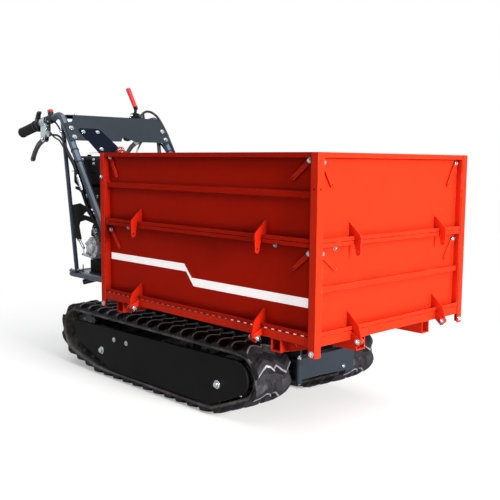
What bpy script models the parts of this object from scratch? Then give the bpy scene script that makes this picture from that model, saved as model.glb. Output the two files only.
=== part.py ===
# Tracked power wheelbarrow (mini dumper) with a drop-sided flat bed.
# Metres, +Z up.  -Y is the front, where the bed tips; +Y is the rear, where
# the handles are.  Left is -X and right is +X, as seen from the front.
# Shapes are written about the centre of the bed; finish() moves everything
# by SHIFT so that the origin is the middle of the whole footprint.
import bpy
import bmesh
import math
from mathutils import Matrix, Vector

SHIFT = Vector((0, -0.4066, 0))

# ---------------------------------------------------------- main dimensions
# bed
BED_X, BED_Y = 0.381, 0.531           # half width and length over the corner posts
POST_LO, POST_HI = 0.3135, 0.8835
POST_LEG, POST_T = 0.025, 0.003       # angle section of a post
RAIL_LO, RAIL_HI = 0.344, 0.370
LOWER_LO, LOWER_HI = 0.3725, 0.6325   # lower drop side
UPPER_LO, UPPER_HI = 0.6345, POST_HI  # upper extension side
TRAY_D, SHEET = 0.023, 0.0025         # depth and sheet of a side tray
FACE = 0.0020                         # tray face set back from the posts
SIDE_HINGES = (0.306, -0.312)         # along Y
FRONT_HINGES = (0.214, -0.227)        # along X, counted toward -X
HINGE_OUT, HINGE_Z = 0.026, 0.342     # hinge axis outside the tray face, height
PIN_R = 0.004
TIP_Y, TIP_Z, TIP_R = -0.230, 0.280, 0.010    # cross rod the bed tips about
# tracks
TRACK_IN, TRACK_OUT = 0.146, 0.300    # belt faces, from the middle
WHEEL_X = 0.225                       # mid-plane of wheels and track frame
BELT_T, LUG_H, LUG_PITCH = 0.012, 0.020, 0.066
IDLER = (-0.136, 0.163, 0.070)        # y, z, radius under the belt
ROLLER_F = (0.010, 0.067, 0.035)
ROLLER_R = (0.700, 0.067, 0.035)
SPROCKET = (0.862, 0.150, 0.084)
WHEEL_GAP = 0.0012                    # between a wheel and the belt
# handles and engine platform
HANDLE_X, HANDLE_R, BRACE_R = 0.248, 0.0155, 0.0092
APEX = (1.0273, 1.0490)               # bend of the handle tube, y and z
GRIP_END = (1.3660, 0.9790)           # free end of the handle tube, y and z
GRIP_FALL = (APEX[1] - GRIP_END[1]) / (GRIP_END[0] - APEX[0])
RAKE = 0.669                          # dy/dz of the raked part of the tube
RAKE_Y, RAKE_Z = 0.951, 0.935         # a point on the raked axis
PLATFORM_Z = 0.375

MIRROR = Matrix.Diagonal((-1, 1, 1, 1))

# ------------------------------------------------------------------- set-up
for old in list(bpy.data.objects):
    bpy.data.objects.remove(old, do_unlink=True)
PRODUCT = bpy.data.collections.new("power_wheelbarrow")
WORKSHOP = bpy.data.collections.new("construction")
bpy.context.scene.collection.children.link(PRODUCT)
bpy.context.scene.collection.children.link(WORKSHOP)

MATERIALS = {}


def material(name, colour, roughness, metallic=0.0):
    mat = bpy.data.materials.new(name)
    mat.use_nodes = True
    inputs = mat.node_tree.nodes["Principled BSDF"].inputs
    inputs["Base Color"].default_value = (*colour, 1.0)
    inputs["Roughness"].default_value = roughness
    inputs["Metallic"].default_value = metallic
    mat.diffuse_color = (*colour, 1.0)
    MATERIALS[name] = mat


material("red_paint", colour=(0.62, 0.035, 0.012), roughness=0.38)
material("slate_paint", colour=(0.055, 0.085, 0.120), roughness=0.42)
material("black_paint", colour=(0.012, 0.012, 0.013), roughness=0.45)
material("navy_paint", colour=(0.008, 0.012, 0.030), roughness=0.40)
material("track_rubber", colour=(0.030, 0.028, 0.027), roughness=0.85)
material("grip_rubber", colour=(0.012, 0.012, 0.012), roughness=0.70)
material("zinc", colour=(0.62, 0.66, 0.70), roughness=0.30, metallic=1.0)
material("cast_aluminium", colour=(0.55, 0.56, 0.57), roughness=0.42, metallic=1.0)
material("cast_iron", colour=(0.10, 0.10, 0.105), roughness=0.55, metallic=0.6)
material("black_plastic", colour=(0.014, 0.014, 0.015), roughness=0.38)
material("red_plastic", colour=(0.60, 0.012, 0.020), roughness=0.32)


# ------------------------------------------------------------ piece handling
def add_piece(data):
    piece = bpy.data.objects.new("piece", data)
    WORKSHOP.objects.link(piece)
    return piece


def discard(piece):
    data = piece.data
    bpy.data.objects.remove(piece, do_unlink=True)
    store = bpy.data.meshes if isinstance(data, bpy.types.Mesh) else bpy.data.curves
    store.remove(data)


def piece_from(bm, face_out=True):
    """New piece from a bmesh, which is freed."""
    if face_out:
        bmesh.ops.recalc_face_normals(bm, faces=bm.faces)
    mesh = bpy.data.meshes.new("piece")
    bm.to_mesh(mesh)
    bm.free()
    return add_piece(mesh)


def evaluated(piece, weld):
    """Welded bmesh of a curve or modified piece, which is discarded."""
    bpy.context.view_layer.update()
    depsgraph = bpy.context.evaluated_depsgraph_get()
    mesh = bpy.data.meshes.new_from_object(piece.evaluated_get(depsgraph))
    discard(piece)
    bm = bmesh.new()
    bm.from_mesh(mesh)
    bpy.data.meshes.remove(mesh)
    bmesh.ops.remove_doubles(bm, verts=bm.verts, dist=weld)
    return bm


def baked(piece):
    return piece_from(evaluated(piece, weld=1e-6), face_out=False)


def combine(base, others, operation):
    for other in others:
        boolean = base.modifiers.new("boolean", 'BOOLEAN')
        boolean.operation = operation
        boolean.solver = 'EXACT'
        boolean.object = other
        other.hide_render = True
        base = baked(base)
        discard(other)
    return base


def union(base, *others):
    return combine(base, others, 'UNION')


def cut(base, *others):
    return combine(base, others, 'DIFFERENCE')


def mapped(piece, matrix):
    """Moves a piece's mesh; turns the faces back out if the matrix mirrors."""
    piece.data.transform(matrix)
    if matrix.to_3x3().determinant() < 0:
        piece.data.flip_normals()
    return piece


def finish(name, piece, mat, origin, angle=35.0):
    """Names, paints and places a piece; angle is the sharp-edge limit."""
    origin = Vector(origin)
    mesh = piece.data
    mesh.transform(Matrix.Translation(-origin))
    mesh.name = name
    piece.name = name
    mesh.materials.clear()
    mesh.materials.append(MATERIALS[mat])
    mesh.shade_smooth()
    mesh.set_sharp_from_angle(angle=math.radians(angle))
    piece.location = origin + SHIFT
    PRODUCT.objects.link(piece)
    WORKSHOP.objects.unlink(piece)
    return piece


def finish_mirror(left, mat):
    """Right-hand copy of a finished left-hand piece."""
    origin = left.location - SHIFT
    mesh = left.data.copy()
    mesh.transform(Matrix.Translation(origin))
    name = left.name.replace("left_", "right_", 1)
    finish(name, mapped(add_piece(mesh), MIRROR), mat, MIRROR @ origin)


def finish_pair(name, piece, mat, origin):
    finish_mirror(finish("left_" + name, piece, mat, origin), mat)


# ------------------------------------------------------------------- shapes
def box(x0, x1, y0, y1, z0, z1):
    """Each pair of limits may come in either order."""
    bm = bmesh.new()
    bmesh.ops.create_cube(bm, size=1.0)
    matrix = Matrix.Translation(((x0 + x1) / 2, (y0 + y1) / 2, (z0 + z1) / 2))
    matrix = matrix @ Matrix.Diagonal((abs(x1 - x0), abs(y1 - y0), abs(z1 - z0), 1.0))
    bmesh.ops.transform(bm, matrix=matrix, verts=bm.verts)
    return piece_from(bm)


def square_tube(x0, x1, y0, y1, z0, z1, wall):
    """Rectangular tube along Y, open at both ends."""
    x0, x1 = sorted((x0, x1))
    past_end = 0.01
    core = box(x0 + wall, x1 - wall, y0 - past_end, y1 + past_end, z0 + wall, z1 - wall)
    return cut(box(x0, x1, y0, y1, z0, z1), core)


def z_frame(origin, direction):
    """Matrix that puts the Z axis at origin, along a unit direction."""
    turn = Vector((0, 0, 1)).rotation_difference(direction)
    return Matrix.Translation(origin) @ turn.to_matrix().to_4x4()


def rod(start, end, radius, sides, end_radius=None):
    start, end = Vector(start), Vector(end)
    run = end - start
    bm = bmesh.new()
    bmesh.ops.create_cone(bm, cap_ends=True, cap_tris=False, segments=sides, radius1=radius,
                          radius2=radius if end_radius is None else end_radius,
                          depth=run.length)
    bmesh.ops.transform(bm, matrix=z_frame((start + end) / 2, run.normalized()),
                        verts=bm.verts)
    return piece_from(bm)


def rod_on(axis, across, start, end, radius, sides):
    """Rod along an axis; across is (y, z) for X, (x, z) for Y, (x, y) for Z."""
    a, b = across
    ends = [{'X': (s, a, b), 'Y': (a, s, b), 'Z': (a, b, s)}[axis] for s in (start, end)]
    return rod(*ends, radius, sides)


def circle(across, along, radius, sides):
    return [(across + radius * math.cos(2 * math.pi * i / sides),
             along + radius * math.sin(2 * math.pi * i / sides)) for i in range(sides)]


def shifted(points, centre):
    return [(centre[0] + a, centre[1] + b) for a, b in points]


def plate(outline, axis, start, end, holes=()):
    """Flat outline extruded along an axis.  The outline is given as (y, z)
    for X, (x, z) for Y and (x, y) for Z."""
    curve = bpy.data.curves.new("outline", 'CURVE')
    curve.dimensions = '2D'
    curve.fill_mode = 'BOTH'
    curve.extrude = abs(end - start) / 2
    for loop in [outline] + list(holes):
        spline = curve.splines.new('POLY')
        spline.points.add(len(loop) - 1)
        for point, (a, b) in zip(spline.points, loop):
            point.co = (a, b, 0.0, 1.0)
        spline.use_cyclic_u = True
    middle = (start + end) / 2
    matrix = {'X': Matrix(((0, 0, 1, middle), (1, 0, 0, 0), (0, 1, 0, 0), (0, 0, 0, 1))),
              'Y': Matrix(((1, 0, 0, 0), (0, 0, 1, middle), (0, 1, 0, 0), (0, 0, 0, 1))),
              'Z': Matrix.Translation((0, 0, middle))}[axis]
    bm = evaluated(add_piece(curve), weld=1e-6)
    bmesh.ops.transform(bm, matrix=matrix, verts=bm.verts)
    return piece_from(bm)


def fillet(points, radius, steps):
    """Polyline with its inner corners rounded by arcs."""
    points = [Vector(p) for p in points]
    out = [points[0]]
    for before, corner, after in zip(points, points[1:], points[2:]):
        to_before, to_after = (before - corner).normalized(), (after - corner).normalized()
        half = to_before.angle(to_after) / 2
        reach = min(radius / math.tan(half), 0.45 * (before - corner).length,
                    0.45 * (after - corner).length)
        fitted = reach * math.tan(half)
        centre = corner + (to_before + to_after).normalized() * (fitted / math.sin(half))
        first = corner + to_before * reach - centre
        last = corner + to_after * reach - centre
        sweep = first.angle(last)
        normal = first.cross(last).normalized()
        for k in range(steps + 1):
            out.append(centre + Matrix.Rotation(sweep * k / steps, 3, normal) @ first)
    out.append(points[-1])
    return out


def tube(points, radius):
    curve = bpy.data.curves.new("path", 'CURVE')
    curve.dimensions = '3D'
    curve.bevel_depth = radius
    curve.bevel_resolution = 2
    curve.use_fill_caps = True
    spline = curve.splines.new('POLY')
    spline.points.add(len(points) - 1)
    for point, place in zip(spline.points, points):
        point.co = (*place, 1.0)
    return piece_from(evaluated(add_piece(curve), weld=1e-5))


def turned(profile, centre, axis, steps):
    """Closed (radius, along) profile swept round an axis."""
    mesh = bpy.data.meshes.new("profile")
    bm = bmesh.new()
    verts = [bm.verts.new((radius, 0.0, along)) for radius, along in profile]
    for i in range(len(verts)):
        j = (i + 1) % len(verts)
        # an edge lying on the axis would sweep nothing
        if profile[i][0] > 0.0 or profile[j][0] > 0.0:
            bm.edges.new((verts[i], verts[j]))
    bm.to_mesh(mesh)
    bm.free()
    piece = add_piece(mesh)
    screw = piece.modifiers.new("turn", 'SCREW')
    screw.angle = 2 * math.pi
    screw.steps = steps
    screw.render_steps = steps
    screw.use_merge_vertices = True
    screw.merge_threshold = 0.00001
    bm = evaluated(piece, weld=1e-5)
    rotation = {'X': Matrix.Rotation(math.pi / 2, 4, 'Y'),
                'Y': Matrix.Rotation(-math.pi / 2, 4, 'X'),
                'Z': Matrix.Identity(4)}[axis]
    bmesh.ops.transform(bm, matrix=Matrix.Translation(centre) @ rotation, verts=bm.verts)
    return piece_from(bm)


def turned_along(profile, start, direction, steps):
    return mapped(turned(profile, (0, 0, 0), 'Z', steps), z_frame(start, direction))


def both_ways(profile):
    """Half of a (radius, along) profile, completed by its reflection."""
    return profile + [(radius, -along) for radius, along in reversed(profile)]


# ------------------------------------------------------------------- tracks
COVER_BOLTS = ((0.656, 0.112), (-0.037, 0.118))     # y, z
SMALL_BOSSES = ((0.569, 0.160), (0.487, 0.160))
FORK_T = 0.006


def wheel_span(half):
    """Outer and inner x of something centred on the left wheels."""
    return -WHEEL_X - half, -WHEEL_X + half


def belt_path(circles):
    """Points and outward normals round a belt lying on circles, which are
    listed counter-clockwise in the y-z plane."""
    tangents = []
    for i, (y0, z0, r0) in enumerate(circles):
        y1, z1, r1 = circles[(i + 1) % len(circles)]
        dy, dz = y1 - y0, z1 - z0
        tangents.append(math.atan2(dz, dy) - math.acos((r0 - r1) / math.hypot(dy, dz)))
    path = []
    for i, (y, z, radius) in enumerate(circles):
        start, end = tangents[i - 1], tangents[i]
        while end < start:
            end += 2 * math.pi
        steps = max(2, int(18 * (end - start) / math.pi) + 1)
        for j in range(steps + 1):
            angle = start + (end - start) * j / steps
            path.append(((y + radius * math.cos(angle), z + radius * math.sin(angle)),
                         (math.cos(angle), math.sin(angle))))
    return path


def distances(path):
    """Running length round the closed path, from 0 to the whole."""
    out = [0.0]
    for i, (a, _) in enumerate(path):
        b = path[(i + 1) % len(path)][0]
        out.append(out[-1] + math.hypot(b[0] - a[0], b[1] - a[1]))
    return out


def point_at(path, marks, fraction):
    """Point and unit normal at a fraction of the closed path."""
    target = (fraction % 1.0) * marks[-1]
    i = 0
    while i < len(path) - 1 and marks[i + 1] < target:
        i += 1
    step = marks[i + 1] - marks[i]
    f = 0.0 if step < 1e-9 else (target - marks[i]) / step
    (a, normal_a), (b, normal_b) = path[i], path[(i + 1) % len(path)]
    ny = normal_a[0] + (normal_b[0] - normal_a[0]) * f
    nz = normal_a[1] + (normal_b[1] - normal_a[1]) * f
    size = math.hypot(ny, nz)
    return (a[0] + (b[0] - a[0]) * f, a[1] + (b[1] - a[1]) * f), (ny / size, nz / size)


def build_track_belts():
    path = belt_path([IDLER, ROLLER_F, ROLLER_R, SPROCKET])
    marks = distances(path)
    lugs = int(round(marks[-1] / LUG_PITCH))
    # fraction of the pitch, height over the inner face
    lug_steps = ((0.00, BELT_T), (0.12, BELT_T + LUG_H),
                 (0.50, BELT_T + LUG_H), (0.62, BELT_T))
    outer = []
    for i in range(lugs):
        for fraction, height in lug_steps:
            point, normal = point_at(path, marks, (i + fraction) / lugs)
            outer.append((point[0] + normal[0] * height, point[1] + normal[1] * height))
    inner = [point for point, _ in path]
    belt = plate(outer, 'X', -TRACK_OUT, -TRACK_IN, [inner])
    origin = (-(TRACK_IN + TRACK_OUT) / 2, 0.36, 0.13)
    left = finish("left_track_belt", belt, "track_rubber", origin, angle=30)
    finish_mirror(left, "track_rubber")


def build_idler_wheels():
    y, z, radius = IDLER
    half, web, bore, hub, rim = 0.017, 0.004, 0.0105, 0.020, radius - 0.012
    profile = both_ways([(bore, half * 0.95), (hub, half * 0.95), (rim, web), (rim, half),
                         (radius - WHEEL_GAP, half)])
    centre = (-WHEEL_X, y, z)
    finish_pair("idler_wheel", turned(profile, centre, 'X', 20), "cast_iron", centre)


def build_drive_sprockets():
    y, z, radius = SPROCKET
    tip = radius - WHEEL_GAP
    root = tip - 0.014
    bore, teeth = 0.0150, 11
    outline = []
    for i in range(teeth):
        for fraction, reach in ((0.0, tip), (0.5, tip), (0.62, root), (0.88, root)):
            angle = 2 * math.pi * (i + fraction) / teeth
            outline.append((reach * math.cos(angle), reach * math.sin(angle)))
    wheel = plate(shifted(outline, (y, z)), 'X', *wheel_span(0.018),
                  [circle(y, z, bore, 16)])
    hub = cut(rod_on('X', (y, z), *wheel_span(0.027), 0.030, 16),
              rod_on('X', (y, z), *wheel_span(0.035), bore, 16))
    finish_pair("drive_sprocket", union(wheel, hub), "cast_iron", (-WHEEL_X, y, z))


def build_road_rollers():
    for place, (y, z, radius) in (("front", ROLLER_F), ("rear", ROLLER_R)):
        profile = both_ways([(0.0085, 0.0155), (0.014, 0.0155), (radius - WHEEL_GAP, 0.012)])
        centre = (-WHEEL_X, y, z)
        roller = turned(profile, centre, 'X', 16)
        finish_pair(place + "_road_roller", roller, "cast_iron", centre)


def build_track_frames():
    outer, inner = wheel_span(0.024)
    axle = wheel_span(0.0275)
    fork_starts = (outer, inner - FORK_T)
    frame = square_tube(outer, inner, -0.050, 0.760, 0.108, 0.165, wall=0.004)
    parts = []
    for y, z, _ in (ROLLER_F, ROLLER_R):
        top, bottom = 0.120, 0.047
        fork = [(y - 0.018, top), (y - 0.018, z), (y - 0.010, bottom),
                (y + 0.010, bottom), (y + 0.018, z), (y + 0.018, top)]
        parts += [plate(fork, 'X', x, x + FORK_T) for x in fork_starts]
        parts.append(rod_on('X', (y, z), *axle, 0.0078, 10))
    y, z, _ = IDLER
    fork = [(0.02, 0.125), (0.02, 0.164), (y, z + 0.020), (y - 0.017, z + 0.012),
            (y - 0.020, z), (y - 0.017, z - 0.012), (y, z - 0.020)]
    parts += [plate(fork, 'X', x, x + FORK_T) for x in fork_starts]
    parts.append(rod_on('X', (y, z), *axle, 0.0098, 12))
    # bosses out to the side cover
    for places, radius, sides in ((COVER_BOLTS, 0.013, 10), (SMALL_BOSSES, 0.008, 8)):
        parts += [rod_on('X', place, -0.3002, -0.245, radius, sides) for place in places]
    finish_pair("track_frame", union(frame, *parts), "black_paint", (-WHEEL_X, 0.35, 0.13))


def build_side_covers():
    nose_y, nose_z, nose_r = -0.125, 0.156, 0.060
    rear_top = (0.861, 0.197)
    nose = []
    for degrees in (95, 115, 135, 155, 175, 195, 215, 230):
        angle = math.radians(degrees)
        nose.append((nose_y + nose_r * math.cos(angle), nose_z + nose_r * math.sin(angle)))
    outline = [rear_top] + nose + [(-0.075, 0.071), (-0.020, 0.050), (0.020, 0.040),
                                   (0.589, 0.038), (0.851, 0.126)]
    cover = plate(outline, 'X', -0.3036, -0.3006,
                  [circle(y, z, 0.0062, 12) for y, z in COVER_BOLTS])
    # turned-in lip along the top edge
    lip = [rear_top, (-0.130, 0.2157), (-0.130, 0.2127), (0.861, 0.194)]
    cover = union(cover, plate(lip, 'X', -0.3010, -0.286))
    finish_pair("side_cover", cover, "black_paint", (-0.301, 0.35, 0.13))


# ----------------------------------------------------------------- chassis
BEAM_IN, BEAM_OUT = 0.080, 0.120      # x faces of the two long beams
BEAM_Y = (-0.215, 0.760)
BEAM_Z = (0.168, 0.218)
UPRIGHT_X = (0.095, 0.135)            # x faces of uprights and platform runners
GUARD_PIN = (-0.139, -0.254)          # x, y of the upright pin of the front guard
KNUCKLE_R = 0.0110

# y, z of the cheek that holds the tipping rod
CHEEK = [(-0.242, 0.180), (-0.255, 0.262), (-0.252, 0.294), (-0.240, 0.302),
         (-0.218, 0.302), (-0.205, 0.290), (-0.150, 0.190), (-0.150, 0.180)]

# x, z of the front guard
GUARD = [(-0.1385, 0.1515), (0.1385, 0.1375), (0.1400, 0.1400), (0.1400, 0.2160),
         (0.1370, 0.2185), (-0.127, 0.2185), (-0.127, 0.2035), (-0.1385, 0.2035)]


def build_chassis():
    beam = square_tube(-BEAM_OUT, -BEAM_IN, *BEAM_Y, *BEAM_Z, wall=0.004)
    parts = [square_tube(BEAM_IN, BEAM_OUT, *BEAM_Y, *BEAM_Z, wall=0.004),
             box(-0.132, 0.132, -0.243, -0.213, 0.140, 0.214)]
    # cross bars to the track frames, then one between the beams
    for y in (0.080, 0.580):
        parts.append(box(-0.2007, 0.2007, y, y + 0.040, 0.120, 0.1685))
    parts.append(box(-0.119, 0.119, 0.300, 0.340, 0.172, 0.212))
    for side in (-1, 1):
        parts.append(plate(CHEEK, 'X', side * 0.124, side * 0.131))
        parts.append(box(side * 0.110, side * 0.125, -0.243, -0.150, 0.180, 0.2175))
        # uprights that carry the platform
        for y0, y1 in ((0.600, 0.640), (0.700, 0.735)):
            x0, x1 = (side * x for x in UPRIGHT_X)
            parts.append(box(x0, x1, y0, y1, 0.200, 0.3595))
    parts.append(rod_on('X', (TIP_Y, TIP_Z), -0.196, 0.196, TIP_R, 16))
    # rest pads for the bed, kept just under its cross tube
    for side in (-1, 1):
        parts.append(box(side * 0.119, side * 0.081, 0.400, 0.434, 0.210, 0.3042))
    # knuckles, their arms and the pin of the front guard
    for z0, z1 in ((0.2058, 0.2190), (0.1360, 0.1492)):
        parts.append(rod_on('Z', GUARD_PIN, z0, z1, KNUCKLE_R, 14))
    for z0, z1 in ((0.2060, 0.2140), (0.1405, 0.1485)):
        parts.append(box(-0.1445, -0.120, -0.250, -0.225, z0, z1))
    parts.append(rod_on('Z', GUARD_PIN, 0.1330, 0.2225, 0.0060, 10))
    finish("chassis_frame", union(beam, *parts), "slate_paint", (0, 0.2, 0.19))


def build_front_guard():
    guard = plate(GUARD, 'Y', -0.2585, -0.2535, [circle(0.085, 0.1555, 0.0042, 10)])
    guard = union(guard, rod_on('Z', GUARD_PIN, 0.1497, 0.2053, KNUCKLE_R, 14))
    guard = cut(guard, rod_on('Z', GUARD_PIN, 0.12, 0.24, 0.0068, 10))
    finish("front_guard", guard, "slate_paint", (*GUARD_PIN, 0.178))


# ------------------------------------------------------- gearbox and engine
# y, z of the gearbox body
GEARBOX = [(0.775, 0.105), (0.800, 0.085), (0.925, 0.085), (0.950, 0.110), (0.950, 0.240),
           (0.925, 0.262), (0.860, 0.300), (0.800, 0.300), (0.775, 0.262)]

# x, z of the fuel tank
TANK = [(-0.222, 0.762), (-0.205, 0.745), (0.125, 0.745), (0.140, 0.760),
        (0.140, 0.850), (0.118, 0.873), (-0.209, 0.873), (-0.222, 0.860)]

# radius, distance behind the engine of the recoil cover
RECOIL = [(0.0, 0.0220), (0.022, 0.0220), (0.028, 0.0300), (0.060, 0.0300),
          (0.078, 0.0210), (0.084, 0.0060), (0.084, 0.0), (0.0, 0.0)]

RECOIL_X, RECOIL_Z = 0.010, 0.500
STARTER_X, STARTER_Z = 0.086, 0.549
HOUSING_Y, HOUSING_Z = 0.838, 0.493
CAP_X, CAP_Y, CAP_Z = -0.075, 0.845, 0.8865


def build_gearbox():
    y, z, _ = SPROCKET
    parts = [rod_on('X', (y, z), -0.1955, 0.1955, 0.034, 16),
             rod_on('X', (y, z), -0.262, 0.262, 0.0140, 14),
             rod_on('X', (0.830, 0.262), -0.130, 0.098, 0.026, 14),
             rod_on('X', (y, z), -0.1555, 0.1555, 0.047, 16),
             box(-0.110, 0.110, 0.7612, 0.800, 0.175, 0.212)]
    gearbox = union(plate(GEARBOX, 'X', -0.095, 0.095), *parts)
    finish("gearbox", gearbox, "cast_aluminium", (0, y, z))


def build_engine_platform():
    half = 0.250
    deck = box(-0.236, 0.236, 0.590, 0.972, 0.3780, 0.3840)
    hoop = [(-half, 0.585, PLATFORM_Z), (-half, 0.982, PLATFORM_Z),
            (half, 0.982, PLATFORM_Z), (half, 0.585, PLATFORM_Z)]
    parts = [tube(fillet(hoop, 0.030, 4), 0.0125),
             rod_on('X', (0.592, PLATFORM_Z), -half, half, 0.0122, 14)]
    for side in (-1, 1):
        x0, x1 = (side * x for x in UPRIGHT_X)
        parts.append(box(x0, x1, 0.600, 0.960, 0.3600, 0.3785))
        parts.append(box(side * 0.232, side * 0.242, 0.60, 0.965, 0.3720, 0.3835))
    # stub sloping down to the rear left corner
    parts.append(rod((-0.118, 0.860, 0.366), (-0.205, 0.945, 0.335), 0.0115, 14))
    finish("engine_platform", union(deck, *parts), "slate_paint", (0, 0.78, PLATFORM_Z))


def build_engine_block():
    crankcase = box(-0.105, 0.115, 0.680, 0.870, 0.392, 0.560)
    parts = [box(x, x + 0.035, 0.660, 0.900, 0.3845, 0.3940) for x in (-0.095, 0.070)]
    parts += [box(-0.075, 0.095, 0.700, 0.860, 0.555, 0.742),
              rod_on('Y', (RECOIL_X, RECOIL_Z), 0.865, 0.8845, 0.078, 20),
              rod_on('Y', (0.060, 0.650), 0.710, 0.655, 0.020, 12)]
    for k in range(4):
        fin_z = 0.595 + k * 0.036
        parts.append(box(-0.090, 0.110, 0.692, 0.852, fin_z, fin_z + 0.006))
    finish("engine_block", union(crankcase, *parts), "black_paint", (0.0, 0.78, 0.5))


def build_drive_housing():
    """Clutch and belt-drive housing on the left of the crankcase."""
    axis = (HOUSING_Y, HOUSING_Z)
    drum = rod_on('X', axis, -0.2280, -0.1065, 0.043, 22)
    parts = [rod_on('X', axis, -0.2350, -0.2275, 0.020, 14)]
    # ring of six bolt bosses
    for k in range(6):
        angle = 2 * math.pi * (k + 0.43) / 6
        place = (HOUSING_Y + 0.038 * math.cos(angle), HOUSING_Z + 0.038 * math.sin(angle))
        parts.append(rod_on('X', place, -0.2320, -0.120, 0.0085, 8))
    finish("drive_housing", union(drum, *parts), "cast_aluminium", (-0.16, *axis))


def build_recoil_starter():
    cover = turned(RECOIL, (RECOIL_X, 0.8850, RECOIL_Z), 'Y', 18)
    to_cover = (Matrix.Translation((RECOIL_X, 0.912, RECOIL_Z))
                @ Matrix.Rotation(-math.pi / 2, 4, 'X'))
    slots = []
    for k in range(6):
        spoke = Matrix.Rotation(2 * math.pi * (k + 0.5) / 6, 4, 'Z')
        slot = box(0.034, 0.060, -0.004, 0.004, -0.02, 0.02)
        slots.append(mapped(slot, to_cover @ spoke))
    cover = cut(cover, *slots)
    cover = union(cover, box(0.070, 0.100, 0.8852, 0.9130, 0.538, 0.560))
    cover = cut(cover, rod_on('Y', (STARTER_X, STARTER_Z), 0.87, 0.93, 0.0045, 12))
    finish("recoil_cover", cover, "black_plastic", (0.01, 0.9, 0.5))

    neck_y = 0.9136
    neck = rod_on('Y', (STARTER_X, STARTER_Z), neck_y, 0.9190, 0.0060, 14)
    # x, y along the slightly bowed cross bar
    bar = [(0.058, 0.9270), (0.070, 0.9250), (0.086, 0.9240), (0.102, 0.9250), (0.114, 0.9270)]
    handle = union(neck, tube([(x, y, STARTER_Z) for x, y in bar], 0.0085))
    finish("starter_handle", handle, "black_plastic", (STARTER_X, neck_y, STARTER_Z))


def build_fuel_tank():
    tank = plate(TANK, 'Y', 0.735, 0.985)
    tank = union(tank, rod_on('Z', (CAP_X, CAP_Y), 0.870, 0.886, 0.0185, 18))
    bevel = tank.modifiers.new("soft", 'BEVEL')
    bevel.width = 0.007
    bevel.segments = 1
    bevel.limit_method = 'ANGLE'
    bevel.angle_limit = math.radians(50)
    finish("fuel_tank", baked(tank), "black_plastic", (-0.03, 0.86, 0.81))

    cap = rod((CAP_X, CAP_Y, CAP_Z), (CAP_X, CAP_Y, 0.9080), 0.0240, 16, end_radius=0.0225)
    cap = union(cap, box(CAP_X - 0.020, CAP_X + 0.020, CAP_Y - 0.0045, CAP_Y + 0.0045,
                         0.905, 0.9135))
    finish("fuel_cap", cap, "red_plastic", (CAP_X, CAP_Y, CAP_Z))


def build_muffler_guard():
    guard = box(0.1195, 0.200, 0.690, 0.850, 0.575, 0.700)
    bevel = guard.modifiers.new("soft", 'BEVEL')
    bevel.width = 0.012
    bevel.segments = 2
    guard = baked(guard)
    slots = [box(0.190, 0.210, 0.705 + 0.022 * k, 0.717 + 0.022 * k, 0.600, 0.675)
             for k in range(6)]
    outlet = rod((0.160, 0.700, 0.600), (0.160, 0.655, 0.585), 0.011, 14)
    guard = union(cut(guard, *slots), outlet)
    finish("muffler_guard", guard, "black_paint", (0.16, 0.77, 0.64))


# ------------------------------------------------------------ handle tubes
GRIP_DIR = Vector((0, 1.0, -GRIP_FALL)).normalized()    # rearward along the grip stretch
GRIP_UP = Vector((0, GRIP_FALL, 1.0)).normalized()      # square to it, upward


def raked_y(z):
    """y of the axis of the raked part of the tube."""
    return RAKE_Y + RAKE * (z - RAKE_Z)


def on_grip(y):
    """Point on the axis of the left tube behind its bend."""
    return Vector((-HANDLE_X, y, APEX[1] - GRIP_FALL * (y - APEX[0])))


def rod_on_grip(centre, reach, radius, sides):
    """Rod along the grip stretch, reaching the same way to both sides."""
    return rod(centre - GRIP_DIR * reach, centre + GRIP_DIR * reach, radius, sides)


THROTTLE_BASE = on_grip(1.222)
THROTTLE_PIVOT = THROTTLE_BASE + GRIP_UP * 0.0260


def build_handle_tubes():
    x = -HANDLE_X
    foot_z = 0.4032
    path = fillet([(x, raked_y(foot_z), foot_z), (x, *APEX), (x, *GRIP_END)], 0.050, 6)
    brace = tube([(x, 0.9240, 0.3920), (x, 1.0200, 1.0200)], BRACE_R)
    rear_foot = box(x - 0.020, x + 0.020, 0.905, 0.953, 0.3880, 0.3950)
    front_foot = box(x - 0.020, x + 0.020, 0.578, 0.628, 0.3880, 0.4060)
    low, high, tab_reach = 0.930, 1.010, 0.0185
    tab = plate([(raked_y(low), low), (raked_y(low) - tab_reach, low),
                 (raked_y(high) - tab_reach, high), (raked_y(high), high)],
                'X', x + 0.004, x + 0.010)
    handle = union(tube(path, HANDLE_R), brace, rear_foot, front_foot, tab)
    right = mapped(add_piece(handle.data.copy()), MIRROR)
    finish("right_handle_tube", right, "slate_paint", (HANDLE_X, 0.95, 0.4))

    # the left tube alone carries two ears and a pin for the throttle
    base, pivot = THROTTLE_BASE.yz, THROTTLE_PIVOT.yz
    ear = (shifted([(-0.008, 0.010), (0.012, 0.006)], base)
           + shifted([(0.006, 0.003), (0, 0.006), (-0.006, 0.002)], pivot))
    for ear_x in (x - 0.0125, x + 0.0098):
        handle = union(handle, plate(ear, 'X', ear_x, ear_x + 0.0027))
    handle = union(handle, rod_on('X', pivot, x - 0.0120, x + 0.0120, 0.0022, 8))
    finish("left_handle_tube", handle, "slate_paint", (x, 0.95, 0.4))


def build_grips():
    """Rubber sleeves, closed at the rear, over the ends of the tubes."""
    bore = HANDLE_R + 0.0004
    # radius, distance past the end of the tube
    profile = [(0.0205, -0.128), (0.0222, -0.122), (0.0222, 0.004), (0.0190, 0.008),
               (0.0, 0.008), (0.0, 0.0005), (bore, 0.0005), (bore, -0.128)]
    end = Vector((-HANDLE_X, *GRIP_END))
    finish_pair("grip", turned_along(profile, end, GRIP_DIR, 16), "grip_rubber", end)


# --------------------------------------------------------- console and levers
CONSOLE_T = 0.003
PLATE_GAP = 0.0006
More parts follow.
